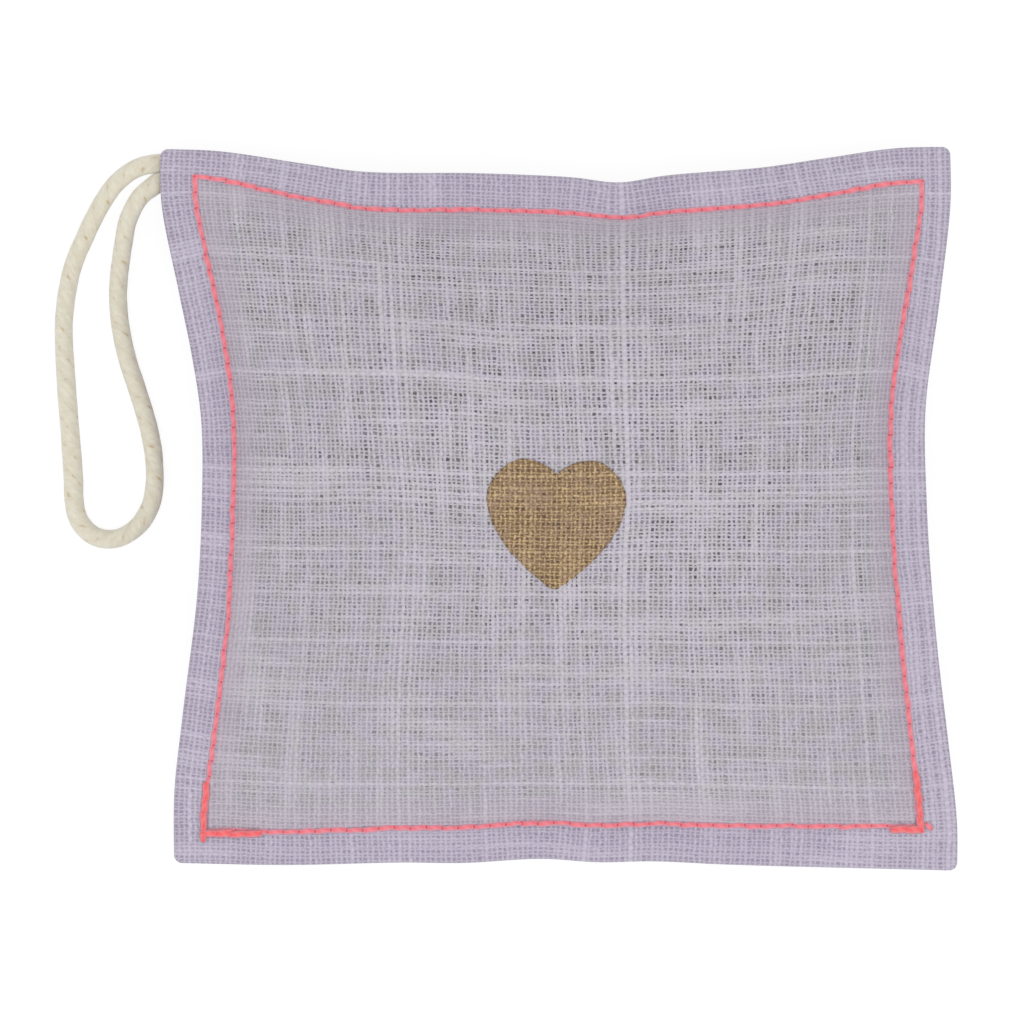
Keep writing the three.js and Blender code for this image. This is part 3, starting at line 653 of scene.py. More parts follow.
def tube(centres, half_widths, half_heights, sides, relief=None):
    """Points and faces of a closed tube, whose rings stand square to its line."""
    way = np.gradient(centres, axis=0)
    across = np.cross(way, UP)
    across /= np.linalg.norm(across, axis=1)[:, None]
    over = np.cross(across, way)
    over /= np.linalg.norm(over, axis=1)[:, None]
    angles = np.arange(sides) * 2 * math.pi / sides
    scale = np.ones((len(centres), sides)) if relief is None else relief(angles)
    wide = scale * half_widths[:, None] * np.cos(angles)
    high = scale * half_heights[:, None] * np.sin(angles)
    rings = centres[:, None] + across[:, None] * wide[..., None] + over[:, None] * high[..., None]
    points = np.vstack([rings.reshape(-1, 3), centres[:1], centres[-1:]])
    k = np.arange(sides)
    following = (k + 1) % sides
    low = np.arange(len(centres) - 1)[:, None] * sides
    walls = np.stack([low + k, low + following, low + sides + following, low + sides + k], -1)
    faces = walls.reshape(-1, 4).tolist()
    first, last = len(points) - 2, len(points) - 1
    end = (len(centres) - 1) * sides
    pairs = list(zip(k.tolist(), following.tolist()))
    faces += [[first, b, a] for a, b in pairs]
    faces += [[last, end + a, end + b] for a, b in pairs]
    return points, faces


def tube_uv(along, sides, around):
    """Corner places of a tube's faces: along gives each ring's value, around runs once round."""
    ring, k = np.meshgrid(np.arange(len(along) - 1), np.arange(sides), indexing="ij")
    steps = ((0, 0), (0, 1), (1, 1), (1, 0))
    walls = np.stack([np.stack([along[ring + a], (k + b) * around], -1) for a, b in steps], 2)
    turns = np.repeat(np.arange(sides) * around, 3)
    caps = [np.column_stack([np.full(len(turns), along[end]), turns]) for end in (0, -1)]
    return np.vstack([walls.reshape(-1, 2), *caps])


def operator(operation, swapped=False):
    def method(self, other):
        return self.graph.math(operation, *((other, self) if swapped else (self, other)))

    return method


class Value:
    """A node's output, which adds, takes away, multiplies and divides as a number does."""

    def __init__(self, graph, socket):
        self.graph = graph
        self.socket = socket

    __add__ = operator("ADD")
    __radd__ = operator("ADD", swapped=True)
    __sub__ = operator("SUBTRACT")
    __rsub__ = operator("SUBTRACT", swapped=True)
    __mul__ = operator("MULTIPLY")
    __truediv__ = operator("DIVIDE")


class Graph:
    """The shader nodes of a material or a world."""

    def __init__(self, owner):
        owner.use_nodes = True
        self.owner = owner
        self.nodes = owner.node_tree.nodes
        self.links = owner.node_tree.links

    def put(self, socket, value):
        if isinstance(value, Value):
            self.links.new(value.socket, socket)
        else:
            socket.default_value = value

    def set(self, **values):
        for name, value in values.items():
            self.put(self.nodes["Principled BSDF"].inputs[name.replace("_", " ")], value)

    def node(self, kind, inputs, *outputs, **settings):
        """A new node's first output, or the outputs that are named."""
        node = self.nodes.new("ShaderNode" + kind)
        for name, setting in settings.items():
            setattr(node, name, setting)
        for name, value in inputs.items():
            self.put(node.inputs[name], value)
        found = [Value(self, node.outputs[name]) for name in outputs or (0,)]
        return found if len(found) > 1 else found[0]

    def math(self, operation, *values):
        return self.node("Math", dict(enumerate(values)), operation=operation)

    def ramp(self, value, low, high, start=0.0, end=1.0):
        """A smooth change from start to end while the value goes from low to high."""
        inputs = {"Value": value, "From Min": low, "From Max": high, "To Min": start, "To Max": end}
        return self.node("MapRange", inputs, "Result", interpolation_type="SMOOTHSTEP")

    def mix(self, share, a, b):
        return self.node("Mix", {0: share, 6: a, 7: b}, 2, data_type="RGBA")

    def uv(self, layer):
        return self.node("UVMap", {}, uv_map=layer)

    def parts(self, vector):
        return self.node("SeparateXYZ", {0: vector}, 0, 1, 2)

    def noise(self, vector, scale, detail=2.0, output="Fac"):
        return self.node("TexNoise", {"Vector": vector, "Scale": scale, "Detail": detail}, output)

    def streaks(self, x, y, z=0.0, detail=0.0):
        return self.noise(self.node("CombineXYZ", {0: x, 1: y, 2: z}), 1.0, detail)

    def chance(self, value):
        """Three random numbers for each whole number."""
        return self.parts(self.node("TexWhiteNoise", {"W": value}, "Color", noise_dimensions="1D"))

    def bump(self, height, distance, strength=1.0):
        return self.node("Bump", {"Strength": strength, "Distance": distance, "Height": height})


def material_graph(name):
    return Graph(bpy.data.materials.new(name))


def swing(value, spread):
    """A random share from 0 to 1, turned into a swing to both sides."""
    return (value - 0.5) * spread


def srgb(red, green, blue):
    """A colour as seen on a screen, from 0 to 255, as the shader's own numbers."""
    shares = np.array([red, green, blue]) / 255
    linear = np.where(shares <= 0.04045, shares / 12.92, ((shares + 0.055) / 1.055) ** 2.4)
    return (*linear.tolist(), 1.0)


# Weave: each system's pitch, the share of it that a yarn covers, and how far yarns lie in pairs
WARP = (0.72, 0.48, 0.08)
WEFT = (0.53, 0.44, 0.15)
WEFT_SEED = 400.0
LANE_STEP = 17.3
SLUB_RATE = 0.06
WANDER_LANE = 7.7
WANDER_RATE = 0.3
QUIVER_LANE = 3.3
QUIVER_RATE = 1.1
BUNCH_RATES = (0.3, 0.035)
FAT_CHANCE = (0.86, 0.98)
FAT_SLUB = (0.58, 0.72)
FAT_BUNCH = (0.56, 0.7)
FAT_GAIN = 0.1
WIDTH_SPREAD = 0.1
PLACE_SPREAD = 0.1
WANDER_SPREAD = 0.3
QUIVER_SPREAD = 0.5
YARN_FRINGE = (0.13, 0.2)
LIGHT_SPREAD = 0.2
FAT_LIGHT = 0.06
QUIVER_LIGHT = 0.3
DRIFT_RATE = 0.035
DRIFT = 1.6
YARN_LEVEL = 0.45
YARN_LIFT = 0.25
YARN_CREST = 0.3
CROSSING = 0.05
GAP_STEPS = (57.13, 3.71)
HOLE_LEAST = 0.3
HOLE_RISE = 0.6


def yarns(g, across, along, system, seed):
    """One system of yarns: each has its own width, wander, slubs and lightness."""
    pitch, cover, pairing = system
    place = across / pitch
    index = g.math("FLOOR", place)
    share = place - index
    wide, light, aside = g.chance(index + seed)
    lane = index * LANE_STEP + seed
    slub = g.streaks(lane, along * SLUB_RATE, detail=1.0)
    wander = g.streaks(lane + WANDER_LANE, along * WANDER_RATE, detail=1.0)
    quiver = g.streaks(lane + QUIVER_LANE, along * QUIVER_RATE)
    bunch = g.streaks(across * BUNCH_RATES[0] + seed, along * BUNCH_RATES[1], detail=1.0)
    fat = g.ramp(wide, *FAT_CHANCE) + g.ramp(slub, *FAT_SLUB) + g.ramp(bunch, *FAT_BUNCH)
    half = cover / 2 + swing(wide, WIDTH_SPREAD) + fat * FAT_GAIN
    odd = g.math("FLOORED_MODULO", index, 2.0)
    centre = 0.5 + swing(aside, PLACE_SPREAD) + swing(wander, WANDER_SPREAD)
    centre = centre + swing(quiver, QUIVER_SPREAD) + swing(odd, pairing)
    off = g.math("ABSOLUTE", share - centre)
    return Bundle(
        bare=g.ramp(off, half - YARN_FRINGE[0], half + YARN_FRINGE[1]),
        crest=1.0 - g.math("MINIMUM", off / half, 1.0),
        shade=swing(light, LIGHT_SPREAD) + fat * FAT_LIGHT + swing(quiver, QUIVER_LIGHT),
        gap=g.math("FLOOR", place + 0.5),
        share=share, odd=odd, fat=fat,
    )


def weave(g, seed):
    """The cloth's holes, the yarns' lightness and their height."""
    flat = g.uv("cloth")
    u, v, _ = g.parts(flat)
    drift_u, drift_v, _ = g.parts(g.noise(flat, DRIFT_RATE, detail=1.0, output="Color"))
    x = u + swing(drift_u, DRIFT)
    y = v + swing(drift_v, DRIFT)
    warp = yarns(g, x, y, WARP, seed)
    weft = yarns(g, y, x, WEFT, seed + WEFT_SEED)
    side = g.math("FLOORED_MODULO", warp.odd + weft.odd, 2.0) * 2.0 - 1.0
    high = []
    for system, other, way in ((warp, weft, side), (weft, warp, side * -1.0)):
        lift = way * g.math("SINE", other.share * math.pi)
        high.append((1.0 - system.bare) * (YARN_LEVEL + lift * YARN_LIFT + system.crest * YARN_CREST))
    warp_over = g.ramp(high[0] - high[1], -CROSSING, CROSSING)
    deep, spark, tight = g.chance(warp.gap * GAP_STEPS[0] + weft.gap * GAP_STEPS[1])
    least = tight * HOLE_LEAST
    return Bundle(
        flat=flat, u=u, v=v, deep=deep, spark=spark,
        height=g.math("MAXIMUM", *high),
        shade=warp.shade * warp_over + weft.shade * (1.0 - warp_over),
        hole=g.ramp(warp.bare * weft.bare, least, least + HOLE_RISE),
        fat=g.math("MAXIMUM", warp.fat, weft.fat),
    )


# Linen colours: dark and pale yarns, then the colour painted into the gaps between them: the ply behind in
# painted shade in the sewn edge and hem, the filling in its own dark colour and in painted shade in the body
EDGE_CLOTH = (srgb(167, 158, 177), srgb(217, 209, 226), srgb(138, 127, 152))
HEM_CLOTH = (srgb(170, 161, 173), srgb(214, 206, 217), srgb(152, 143, 158))
BODY_CLOTH = (srgb(165, 160, 170), srgb(222, 216, 225), srgb(66, 64, 68))
LILAC = srgb(208, 198, 218)
GREY = srgb(190, 189, 188)
FUZZ = srgb(222, 216, 226)
# Painted shade and highlight on the yarns' relief, darker in their dips and flanks and lighter on their
# crests: the height at which it is neutral, then how strong it is in the sewn edge and in the body
CREST_MIDDLE = 0.72
EDGE_CREST_SHADE = 0.72
BODY_CREST_SHADE = 1.05
WEAVE_RELIEF = 0.14 * MM
# Where the single cloth of the body starts, and the hem behind the topstitch
BODY_BAND = (HEM_WIDTH - 1.5, HEM_WIDTH + 1.8)
SEWN_BAND = (STITCH_MARGIN - 0.3, STITCH_MARGIN + 0.9)
RAGGED_RATE = 0.3
RAGGED_REACH = 2.2
# How much of the painted shade in the gaps shows: across and up the pouch, by patches, by buds and by single
# holes
EDGE_OPENNESS = 0.37
HEM_OPENNESS = 0.25
OPEN_LEFT = (-HALF[0], 5.0, 0.72, 1.0)
OPEN_RIGHT = (12.0, HALF[0], 1.0, 0.72)
OPEN_UP = (-HALF[1], 8.0, 0.5, 1.0)
PATCH_RATE = 0.06
OPEN_PATCH = (0.3, 0.7, 0.82, 1.12)
BUD_RATE = 0.45
OPEN_BUD = (0.35, 0.65, 0.6, 1.1)
OPEN_BODY_HOLE = (0.0, 1.0, 0.45, 0.92)
OPEN_HEM_HOLE = (0.0, 1.0, 0.5, 1.5)
CLOSED_SHADE = 0.3
MOTTLE_RATE = 0.35
MOTTLE_BAND = (0.4, 0.6)
MOTTLE_SHARE = 0.3
FAT_PALENESS = 0.16
FUZZ_RATE = 9.0
FUZZ_BAND = (0.35, 0.7, 0.0, 0.08)
FUZZ_HEIGHT = 0.12


def linen(name, seed):
    g = material_graph(name)
    cloth = weave(g, seed)
    inset, _, _ = g.parts(g.uv("place"))
    body = g.ramp(inset + swing(g.noise(cloth.flat, RAGGED_RATE, detail=1.0), RAGGED_REACH), *BODY_BAND)
    sewn = g.ramp(inset, *SEWN_BAND)
    open_share = g.ramp(cloth.u, *OPEN_LEFT) * g.ramp(cloth.u, *OPEN_RIGHT) * g.ramp(cloth.v, *OPEN_UP)
    open_share = open_share * g.ramp(g.noise(cloth.flat, PATCH_RATE), *OPEN_PATCH)
    buds = g.ramp(g.noise(cloth.flat, BUD_RATE), *OPEN_BUD)
    # Painted shade in the gaps: on the ply behind in the sewn edge and hem, and on the filling behind in the
    # body
    ply_gap_shade_share = EDGE_OPENNESS + sewn * (HEM_OPENNESS - EDGE_OPENNESS)
    ply_gap_shade_share = ply_gap_shade_share * g.ramp(cloth.deep, *OPEN_HEM_HOLE)
    gap_shade_share = body * open_share * buds * g.ramp(cloth.deep, *OPEN_BODY_HOLE) + (1.0 - body) * ply_gap_shade_share
    crest_shade = EDGE_CREST_SHADE + body * (BODY_CREST_SHADE - EDGE_CREST_SHADE)
    # Each yarn's own tone, with painted shade in the yarns' dips and flanks and painted highlight on their
    # crests
    light = 0.5 + cloth.shade + (cloth.height - CREST_MIDDLE) * crest_shade
    light = light - body * (1.0 - open_share) * CLOSED_SHADE
    # Dark and pale yarn colours, then hole: the gap colour, painted shade on the ply behind and on the dark
    # filling
    zones = [g.mix(sewn, edge, hem) for edge, hem in zip(EDGE_CLOTH, HEM_CLOTH)]
    dark, pale, hole = (g.mix(body, zone, inner) for zone, inner in zip(zones, BODY_CLOTH))
    mottle = g.ramp(g.noise(cloth.flat, MOTTLE_RATE), *MOTTLE_BAND)
    yarn = g.mix(body * MOTTLE_SHARE, g.mix(light, dark, pale), g.mix(mottle, GREY, LILAC))
    yarn = g.mix(g.math("MINIMUM", cloth.fat, 1.0) * FAT_PALENESS, yarn, pale)
    fuzz = g.noise(cloth.flat, FUZZ_RATE)
    colour = g.mix(g.ramp(fuzz, *FUZZ_BAND), g.mix(cloth.hole * gap_shade_share, yarn, hole), FUZZ)
    g.set(Base_Color=colour, Roughness=0.92, Specular_IOR_Level=0.2, Sheen_Weight=0.1, Sheen_Roughness=0.6)
    g.set(Normal=g.bump(cloth.height + fuzz * FUZZ_HEIGHT, WEAVE_RELIEF, strength=0.45))
    return g.owner


INK_DARK = srgb(134, 106, 76)
INK_PALE = srgb(200, 174, 138)
INK_ROSE = srgb(172, 146, 130)
INK_GAP_SHADE = srgb(86, 66, 48)
INK_SPARK = srgb(228, 196, 134)
GRAIN_RATE = 2.4
GRAIN_LIGHT = 1.4
GRAIN_DARK = (0.38, 0.58, 0.5, 0.0)
GRAIN_HEIGHT = 0.3
WORN_RATE = 0.22
WORN_BAND = (0.45, 0.62, 0.0, 0.35)
GLINT_CHANCE = (0.35, 0.95)
GLINT_HEIGHT = (0.6, 0.9)
GLINT_SHARE = 0.6
INK_GAP_SHADE_BY_HOLE = (0.2, 1.0, 0.25, 0.95)


def gold_ink(seed):
    g = material_graph("gold_ink")
    cloth = weave(g, seed)
    grains = g.noise(cloth.flat, GRAIN_RATE)
    # The yarns' tone and the ink's grain, with painted shade in the yarns' dips and painted highlight on
    # their crests
    light = 0.5 + cloth.shade + (cloth.height - CREST_MIDDLE) * BODY_CREST_SHADE + swing(grains, GRAIN_LIGHT)
    worn = g.ramp(g.noise(cloth.flat, WORN_RATE), *WORN_BAND)
    colour = g.mix(worn, g.mix(light, INK_DARK, INK_PALE), INK_ROSE)
    colour = g.mix(g.ramp(grains, *GRAIN_DARK), colour, INK_DARK)
    glint = g.ramp(cloth.spark, *GLINT_CHANCE) * g.ramp(cloth.height, *GLINT_HEIGHT)
    colour = g.mix(glint * GLINT_SHARE, colour, INK_SPARK)
    # Painted shade in the gaps between the printed yarns, tinted by the ink
    colour = g.mix(cloth.hole * g.ramp(cloth.deep, *INK_GAP_SHADE_BY_HOLE), colour, INK_GAP_SHADE)
    g.set(Base_Color=colour, Metallic=0.25, Roughness=0.55)
    g.set(Normal=g.bump(cloth.height + grains * GRAIN_HEIGHT, WEAVE_RELIEF, strength=0.6))
    return g.owner


# Threads: plies bright on their crests and dull in the painted shade of the grooves between them, painted
# shade at the ends where the thread dives into the needle holes, then the fuzzy flanks
CORAL = (srgb(252, 140, 152), srgb(248, 120, 132), srgb(196, 76, 94), srgb(208, 162, 176))
CORAL_TACK = (srgb(254, 122, 124), srgb(252, 100, 104), srgb(236, 88, 94), srgb(226, 142, 150))
INNER = (srgb(214, 208, 220), srgb(186, 178, 192), srgb(170, 162, 178), srgb(204, 198, 210))
PLY_TWIST = 10.0
THREAD_RATES = (6.0, 8.0)
THREAD_FIBRE = (0.35, 0.65, 0.0, 0.25)
FLANK_BAND = (0.05, 0.36)
END_SHADE_BAND = (0.075, 0.04)
END_SHADE_MIDDLE = (0.24, 0.1)
END_SHADE_SHARE = 0.8
THREAD_RELIEF = 0.03 * MM


def sewing_thread(name, colours):
    """Plied thread: u runs along a stitch from hole to hole, v once round it."""
    bright, dull, needle_hole_shade, fuzz = colours
    g = material_graph(name)
    along, around, _ = g.parts(g.uv("thread"))
    ply = g.math("SINE", around * (4 * math.pi) + along * PLY_TWIST)
    fibre = g.streaks(along * THREAD_RATES[0], around * THREAD_RATES[1], detail=2.0)
    # Painted shade in the grooves between the plies, the bright colour on their crests
    colour = g.mix(g.ramp(ply, -1.0, 1.0), dull, bright)
    colour = g.mix(g.ramp(fibre, *THREAD_FIBRE), colour, bright)
    flank = g.math("ABSOLUTE", g.math("FRACT", around * 2.0) - 0.5)
    colour = g.mix(g.ramp(flank, *FLANK_BAND), colour, fuzz)
    # Painted shade at each end, where the thread dives into its needle hole, across the middle of its face
    from_end = g.math("ABSOLUTE", g.math("ABSOLUTE", along - 0.5) - 0.5)
    end = g.ramp(from_end, *END_SHADE_BAND) * g.ramp(flank, *END_SHADE_MIDDLE) * END_SHADE_SHARE
    g.set(Base_Color=g.mix(end, colour, needle_hole_shade), Roughness=0.55, Specular_IOR_Level=0.3, Sheen_Weight=0.1)
    g.set(Normal=g.bump(ply + fibre, THREAD_RELIEF, strength=0.4))
    return g.owner


CORD_PALE = srgb(235, 231, 215)
CORD_DULL = srgb(218, 211, 192)
CORD_FLECK = srgb(200, 166, 112)
FIBRE_RATES = (0.5, 9.0)
SPECK_RATES = (1.1, 3.0)
BLOTCH_RATES = (1.6, 2.5)
BLOTCH_LAYER = 4.0
CORD_GROOVE_SHADE = (0.0, 0.9, 0.65, 1.0)
CORD_FIBRE = (0.35, 0.65, 0.4, 0.0)
CORD_BLOTCH = (0.4, 0.62, 0.0, 0.45)
SPECK_BAND = (0.56, 0.7)
SPECK_CREST = (0.5, 0.15)
SPECK_SHARE = 0.55
CORD_RELIEF = 0.04 * MM


def cotton_cord():
    """Soft twisted cotton: u runs along in millimetres, v counts the strands round it."""
    g = material_graph("cotton_cord")
    along, strand, _ = g.parts(g.uv("cord"))
    crest = g.math("SINE", g.math("FRACT", strand) * math.pi)
    fibres = g.streaks(along * FIBRE_RATES[0], strand * FIBRE_RATES[1], detail=3.0)
    specks = g.streaks(along * SPECK_RATES[0], strand * SPECK_RATES[1])
    blotch = g.streaks(along * BLOTCH_RATES[0], strand * BLOTCH_RATES[1], BLOTCH_LAYER, detail=3.0)
    # Painted shade in the grooves between the strands, the pale colour on their crests
    colour = g.mix(g.ramp(crest, *CORD_GROOVE_SHADE), CORD_DULL, CORD_PALE)
    colour = g.mix(g.ramp(fibres, *CORD_FIBRE), colour, CORD_DULL)
    colour = g.mix(g.ramp(blotch, *CORD_BLOTCH), colour, CORD_DULL)
    fleck = g.ramp(specks, *SPECK_BAND) * g.ramp(crest, *SPECK_CREST) * SPECK_SHARE
    colour = g.mix(fleck, colour, CORD_FLECK)
    g.set(Base_Color=colour, Roughness=0.95, Specular_IOR_Level=0.15, Sheen_Weight=0.5, Sheen_Roughness=0.5)
    g.set(Subsurface_Weight=0.6, Subsurface_Scale=1.2 * MM, Subsurface_Radius=(1.0, 0.9, 0.7))
    g.set(Normal=g.bump(crest + fibres, CORD_RELIEF, strength=0.4))
    return g.owner


BUD_CELLS = 420
BUD_VIOLET = srgb(66, 56, 84)
BUD_STRAW = srgb(128, 116, 108)
BUD_GAP_SHADE = srgb(40, 34, 40)
BUD_RIM = (0.2, 0.9)
BUD_RELIEF = 0.6 * MM


def dried_buds():
    g = material_graph("dried_buds")
    place = g.node("NewGeometry", {}, "Position")
    away, tint = g.node("TexVoronoi", {"Vector": place, "Scale": BUD_CELLS}, "Distance", "Color")
    colour = g.mix(g.parts(tint)[0], BUD_VIOLET, BUD_STRAW)
    # Painted shade in the gaps between the buds
    g.set(Base_Color=g.mix(g.ramp(away, *BUD_RIM), colour, BUD_GAP_SHADE), Roughness=1.0)
    g.set(Normal=g.bump(1.0 - away, BUD_RELIEF))
    return g.owner


def add_camera():
    data = bpy.data.cameras.new("camera")
    data.sensor_width = SENSOR
    data.lens = SENSOR * (CAMERA_PLACE[2] - FRAME_HEIGHT_OVER_TABLE) / FRAME_WIDTH
    data.clip_start, data.clip_end = CAMERA_CLIP
    camera = bpy.data.objects.new("camera", data)
    camera.location = Vector(CAMERA_PLACE) * MM
    bpy.context.scene.collection.objects.link(camera)
    bpy.context.scene.camera = camera


# Hanging cord
CORD_STEPS = 24
CORD_RING_STEP = 0.35
CORD_SIDES = 24
CORD_STRANDS = 3
CORD_LAY = 10.5
CORD_GROOVE = 0.025
GROOVE_POWER = 1.3
TAIL_TAPER = 0.75
CORD_SPREAD = 0.04
SOFT_PLACE = 55
SOFT_REACH = 16
SOFT_SPREAD = 0.08
EXIT_SPREAD = 0.12
EXIT_REACH = 2.2
PRESS_LENGTH = 1.8
UNEVENNESS = 0.03
UNEVEN_SPACING = 9
UNEVEN_WAVES = 20
UNEVEN_SEED = 5


def edge_point(drop):
    u = np.array(-1.0)
    v = np.array(1 - drop / HALF[1])
    return np.array([*patch(u, v), middle_height(u, v)])


def cord_line():
    """The whole cord from the upper tail round the free loop to the lower tail, and its upper bend."""
    edges = [edge_point(drop) for drop in TAIL_DROPS]
    bend = np.array([edges[0][0] - SWING_REACH, edge_point(SWING_DROP)[1], edges[0][2]])
    table = CORD_DIAMETER / 2 + CORD_SEAT
    route = [(bend[0] + x, bend[1] + y, table + (bend[2] - table) * lift) for x, y, lift in LOOP_ROUTE]
    upper = [edges[0] + (x, y, 0) for x, y in UPPER_TAIL]
    lower = [edges[1] + (x, y, 0) for x, y in LOWER_TAIL]
    dense = catmull_rom([*upper, *route, *lower[::-1]], CORD_STEPS)
    return evenly(dense, int(reach_of(dense)[-1] / CORD_RING_STEP)), edges[0], bend


def add_cord():
    line, leaves, bend = cord_line()
    along = reach_of(line)
    length = along[-1]
    from_end = np.minimum(along, length - along)
    inside = UPPER_TAIL[0][0]
    full = ease(from_end, 0, inside)
    half_widths = (TAIL_WIDTH * TAIL_TAPER + (CORD_DIAMETER - TAIL_WIDTH * TAIL_TAPER) * full) / 2
    free = ease(from_end, inside - PRESS_LENGTH / 2, inside + PRESS_LENGTH)
    softer = SOFT_SPREAD * np.exp(-((along - SOFT_PLACE) / SOFT_REACH) ** 2)
    half_widths = half_widths * (1 + (CORD_SPREAD + softer) * free)
    half_widths = half_widths * (1 + EXIT_SPREAD * np.exp(-((from_end - inside) / EXIT_REACH) ** 2))
    half_heights = (TAIL_THICKNESS + (CORD_DIAMETER - TAIL_THICKNESS) * free) / 2
    swells = lumps(np.column_stack([along, along * 0]), UNEVEN_SPACING, UNEVEN_WAVES, UNEVEN_SEED)
    uneven = np.minimum(1 + UNEVENNESS * swells, 1)
    phase = along / CORD_LAY

    def relief(angles):
        turn = (angles / (2 * math.pi) - phase[:, None]) * CORD_STRANDS
        crest = np.abs(np.sin(math.pi * turn))
        return (1 - CORD_GROOVE * (1 - crest) ** GROOVE_POWER * free[:, None]) * uneven[:, None]

    points, faces = tube(line, half_widths, half_heights, CORD_SIDES, relief)
    piece = make_piece("cord_loop", points, faces, cotton_cord())
    corner_uv = tube_uv(along, CORD_SIDES, CORD_STRANDS / CORD_SIDES)
    corner_uv[:, 1] -= corner_uv[:, 0] * CORD_STRANDS / CORD_LAY
    set_uv(piece, "cord", corner_uv)
    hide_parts("hanging_loop", "cord_tail_upper", "cord_tail_lower")
    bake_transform(piece)


# Panels: which way they face, and the seeds of their relief and of their weave
FRONT_WEAVE = 3.0
PANELS = {"front": (1, 11, FRONT_WEAVE), "back": (-1, 47, 900.0)}
FILL_SEED = 77
FILL_LIMIT = 0.97
FILL_SINK = 0.6
FILL_LEAST = 0.4
FILL_BUDS = 0.25
FILL_BUD_SPACING = 3.2


def add_filling(panel, front_inner, back_inner):
    inside = (np.abs(panel.p) < FILL_LIMIT) & (np.abs(panel.q) < FILL_LIMIT)
    rows = np.flatnonzero(inside.any(1))
    cut = (slice(rows[0], rows[-1] + 1),) * 2
    buds = FILL_BUDS * lumps(panel.plan, FILL_BUD_SPACING, BUD_WAVES, FILL_SEED)[cut]
    sink = FILL_CLEARANCE + FILL_SINK - buds
    bottom = back_inner[cut] + sink
    top = np.maximum(front_inner[cut] - sink, bottom + FILL_LEAST)
    filling = shell_piece("dried_lavender", panel, top, bottom, 1, dried_buds(), cut)
    finish_piece(filling, "pouch", "dried_lavender", "lavender_filling")


def add_pouch():
    panel = Panel()
    moved = settle()
    faces = {side: panel_faces(panel, sign, seed, moved) for side, (sign, seed, _) in PANELS.items()}
    add_filling(panel, faces["front"][1], faces["back"][1])
    pieces = []
    for side, (sign, _, seed) in PANELS.items():
        name = f"linen_{side}"
        piece = shell_piece(name, panel, *faces[side], sign, linen(name, seed))
        finish_piece(piece, "pouch", "linen", f"{side}_panel")
        pieces.append(piece)
    return pieces


class Surface:
    """Heights of a panel's outer face, found by rays from well above or below it."""

    RAY_START = 100

    def __init__(self, piece, sign):
        points = np.array([vertex.co for vertex in piece.data.vertices]) / MM
        faces = [list(face.vertices) for face in piece.data.polygons]
        self.tree = BVHTree.FromPolygons(points.tolist(), faces)
        self.sign = sign

    def heights(self, plan):
        way = Vector((0, 0, -self.sign))
        starts = [Vector((x, y, self.sign * self.RAY_START)) for x, y in plan]
        return np.array([self.tree.ray_cast(start, way)[0].z for start in starts])


# Heart print
HEART_RINGS = 26
HEART_STEPS = 40
HEART_SEED = 5
RAGGEDNESS = 0.09
PRINT_TURN = math.radians(-1.3)
BLUNT_TIP = 0.3
INK_LIFT = 0.07
INK_THICKNESS = 0.05
NEWTON_STEP = 1e-3
NEWTON_ROUNDS = 6


def heart_outline():
    half = HEART_WIDTH / 2
    top = HEART_HEIGHT / 2
    notch = top - HEART_NOTCH
    start = np.array([0, notch])
    share = np.linspace(0, 1, HEART_STEPS, endpoint=False)[:, None]
    rest = 1 - share
    right = []
    for i, handles in enumerate(HEART_CURVES):
        curve = [np.array([x * half, y * top]) for x, y in handles]
        if i == 0:
            curve.insert(0, np.array([NOTCH_HANDLE[0] * half, notch + NOTCH_HANDLE[1] * HEART_NOTCH]))
        a, b, c, d = start, *curve
        right.append(rest**3 * a + 3 * rest**2 * share * b + 3 * rest * share**2 * c + share**3 * d)
        start = d
    right = np.vstack([*right, start])
    left = right[1:-1][::-1] * (-1, 1)
    return np.vstack([right, left])[::-1]


def cloth_places(plan):
    """Where plan points lie on the flat cloth, found by Newton steps in the film."""
    p, q = (plan / HALF).T
    for _ in range(NEWTON_ROUNDS):
        here = film(p, q)
        over_p = (film(p + NEWTON_STEP, q) - here) / NEWTON_STEP
        over_q = (film(p, q + NEWTON_STEP) - here) / NEWTON_STEP
        steps = np.linalg.solve(np.stack([over_p, over_q], -1), (plan - here)[..., None])[..., 0]
        p, q = p + steps[:, 0], q + steps[:, 1]
    return cloth_at(*stitch_uv(p, q), p, q)


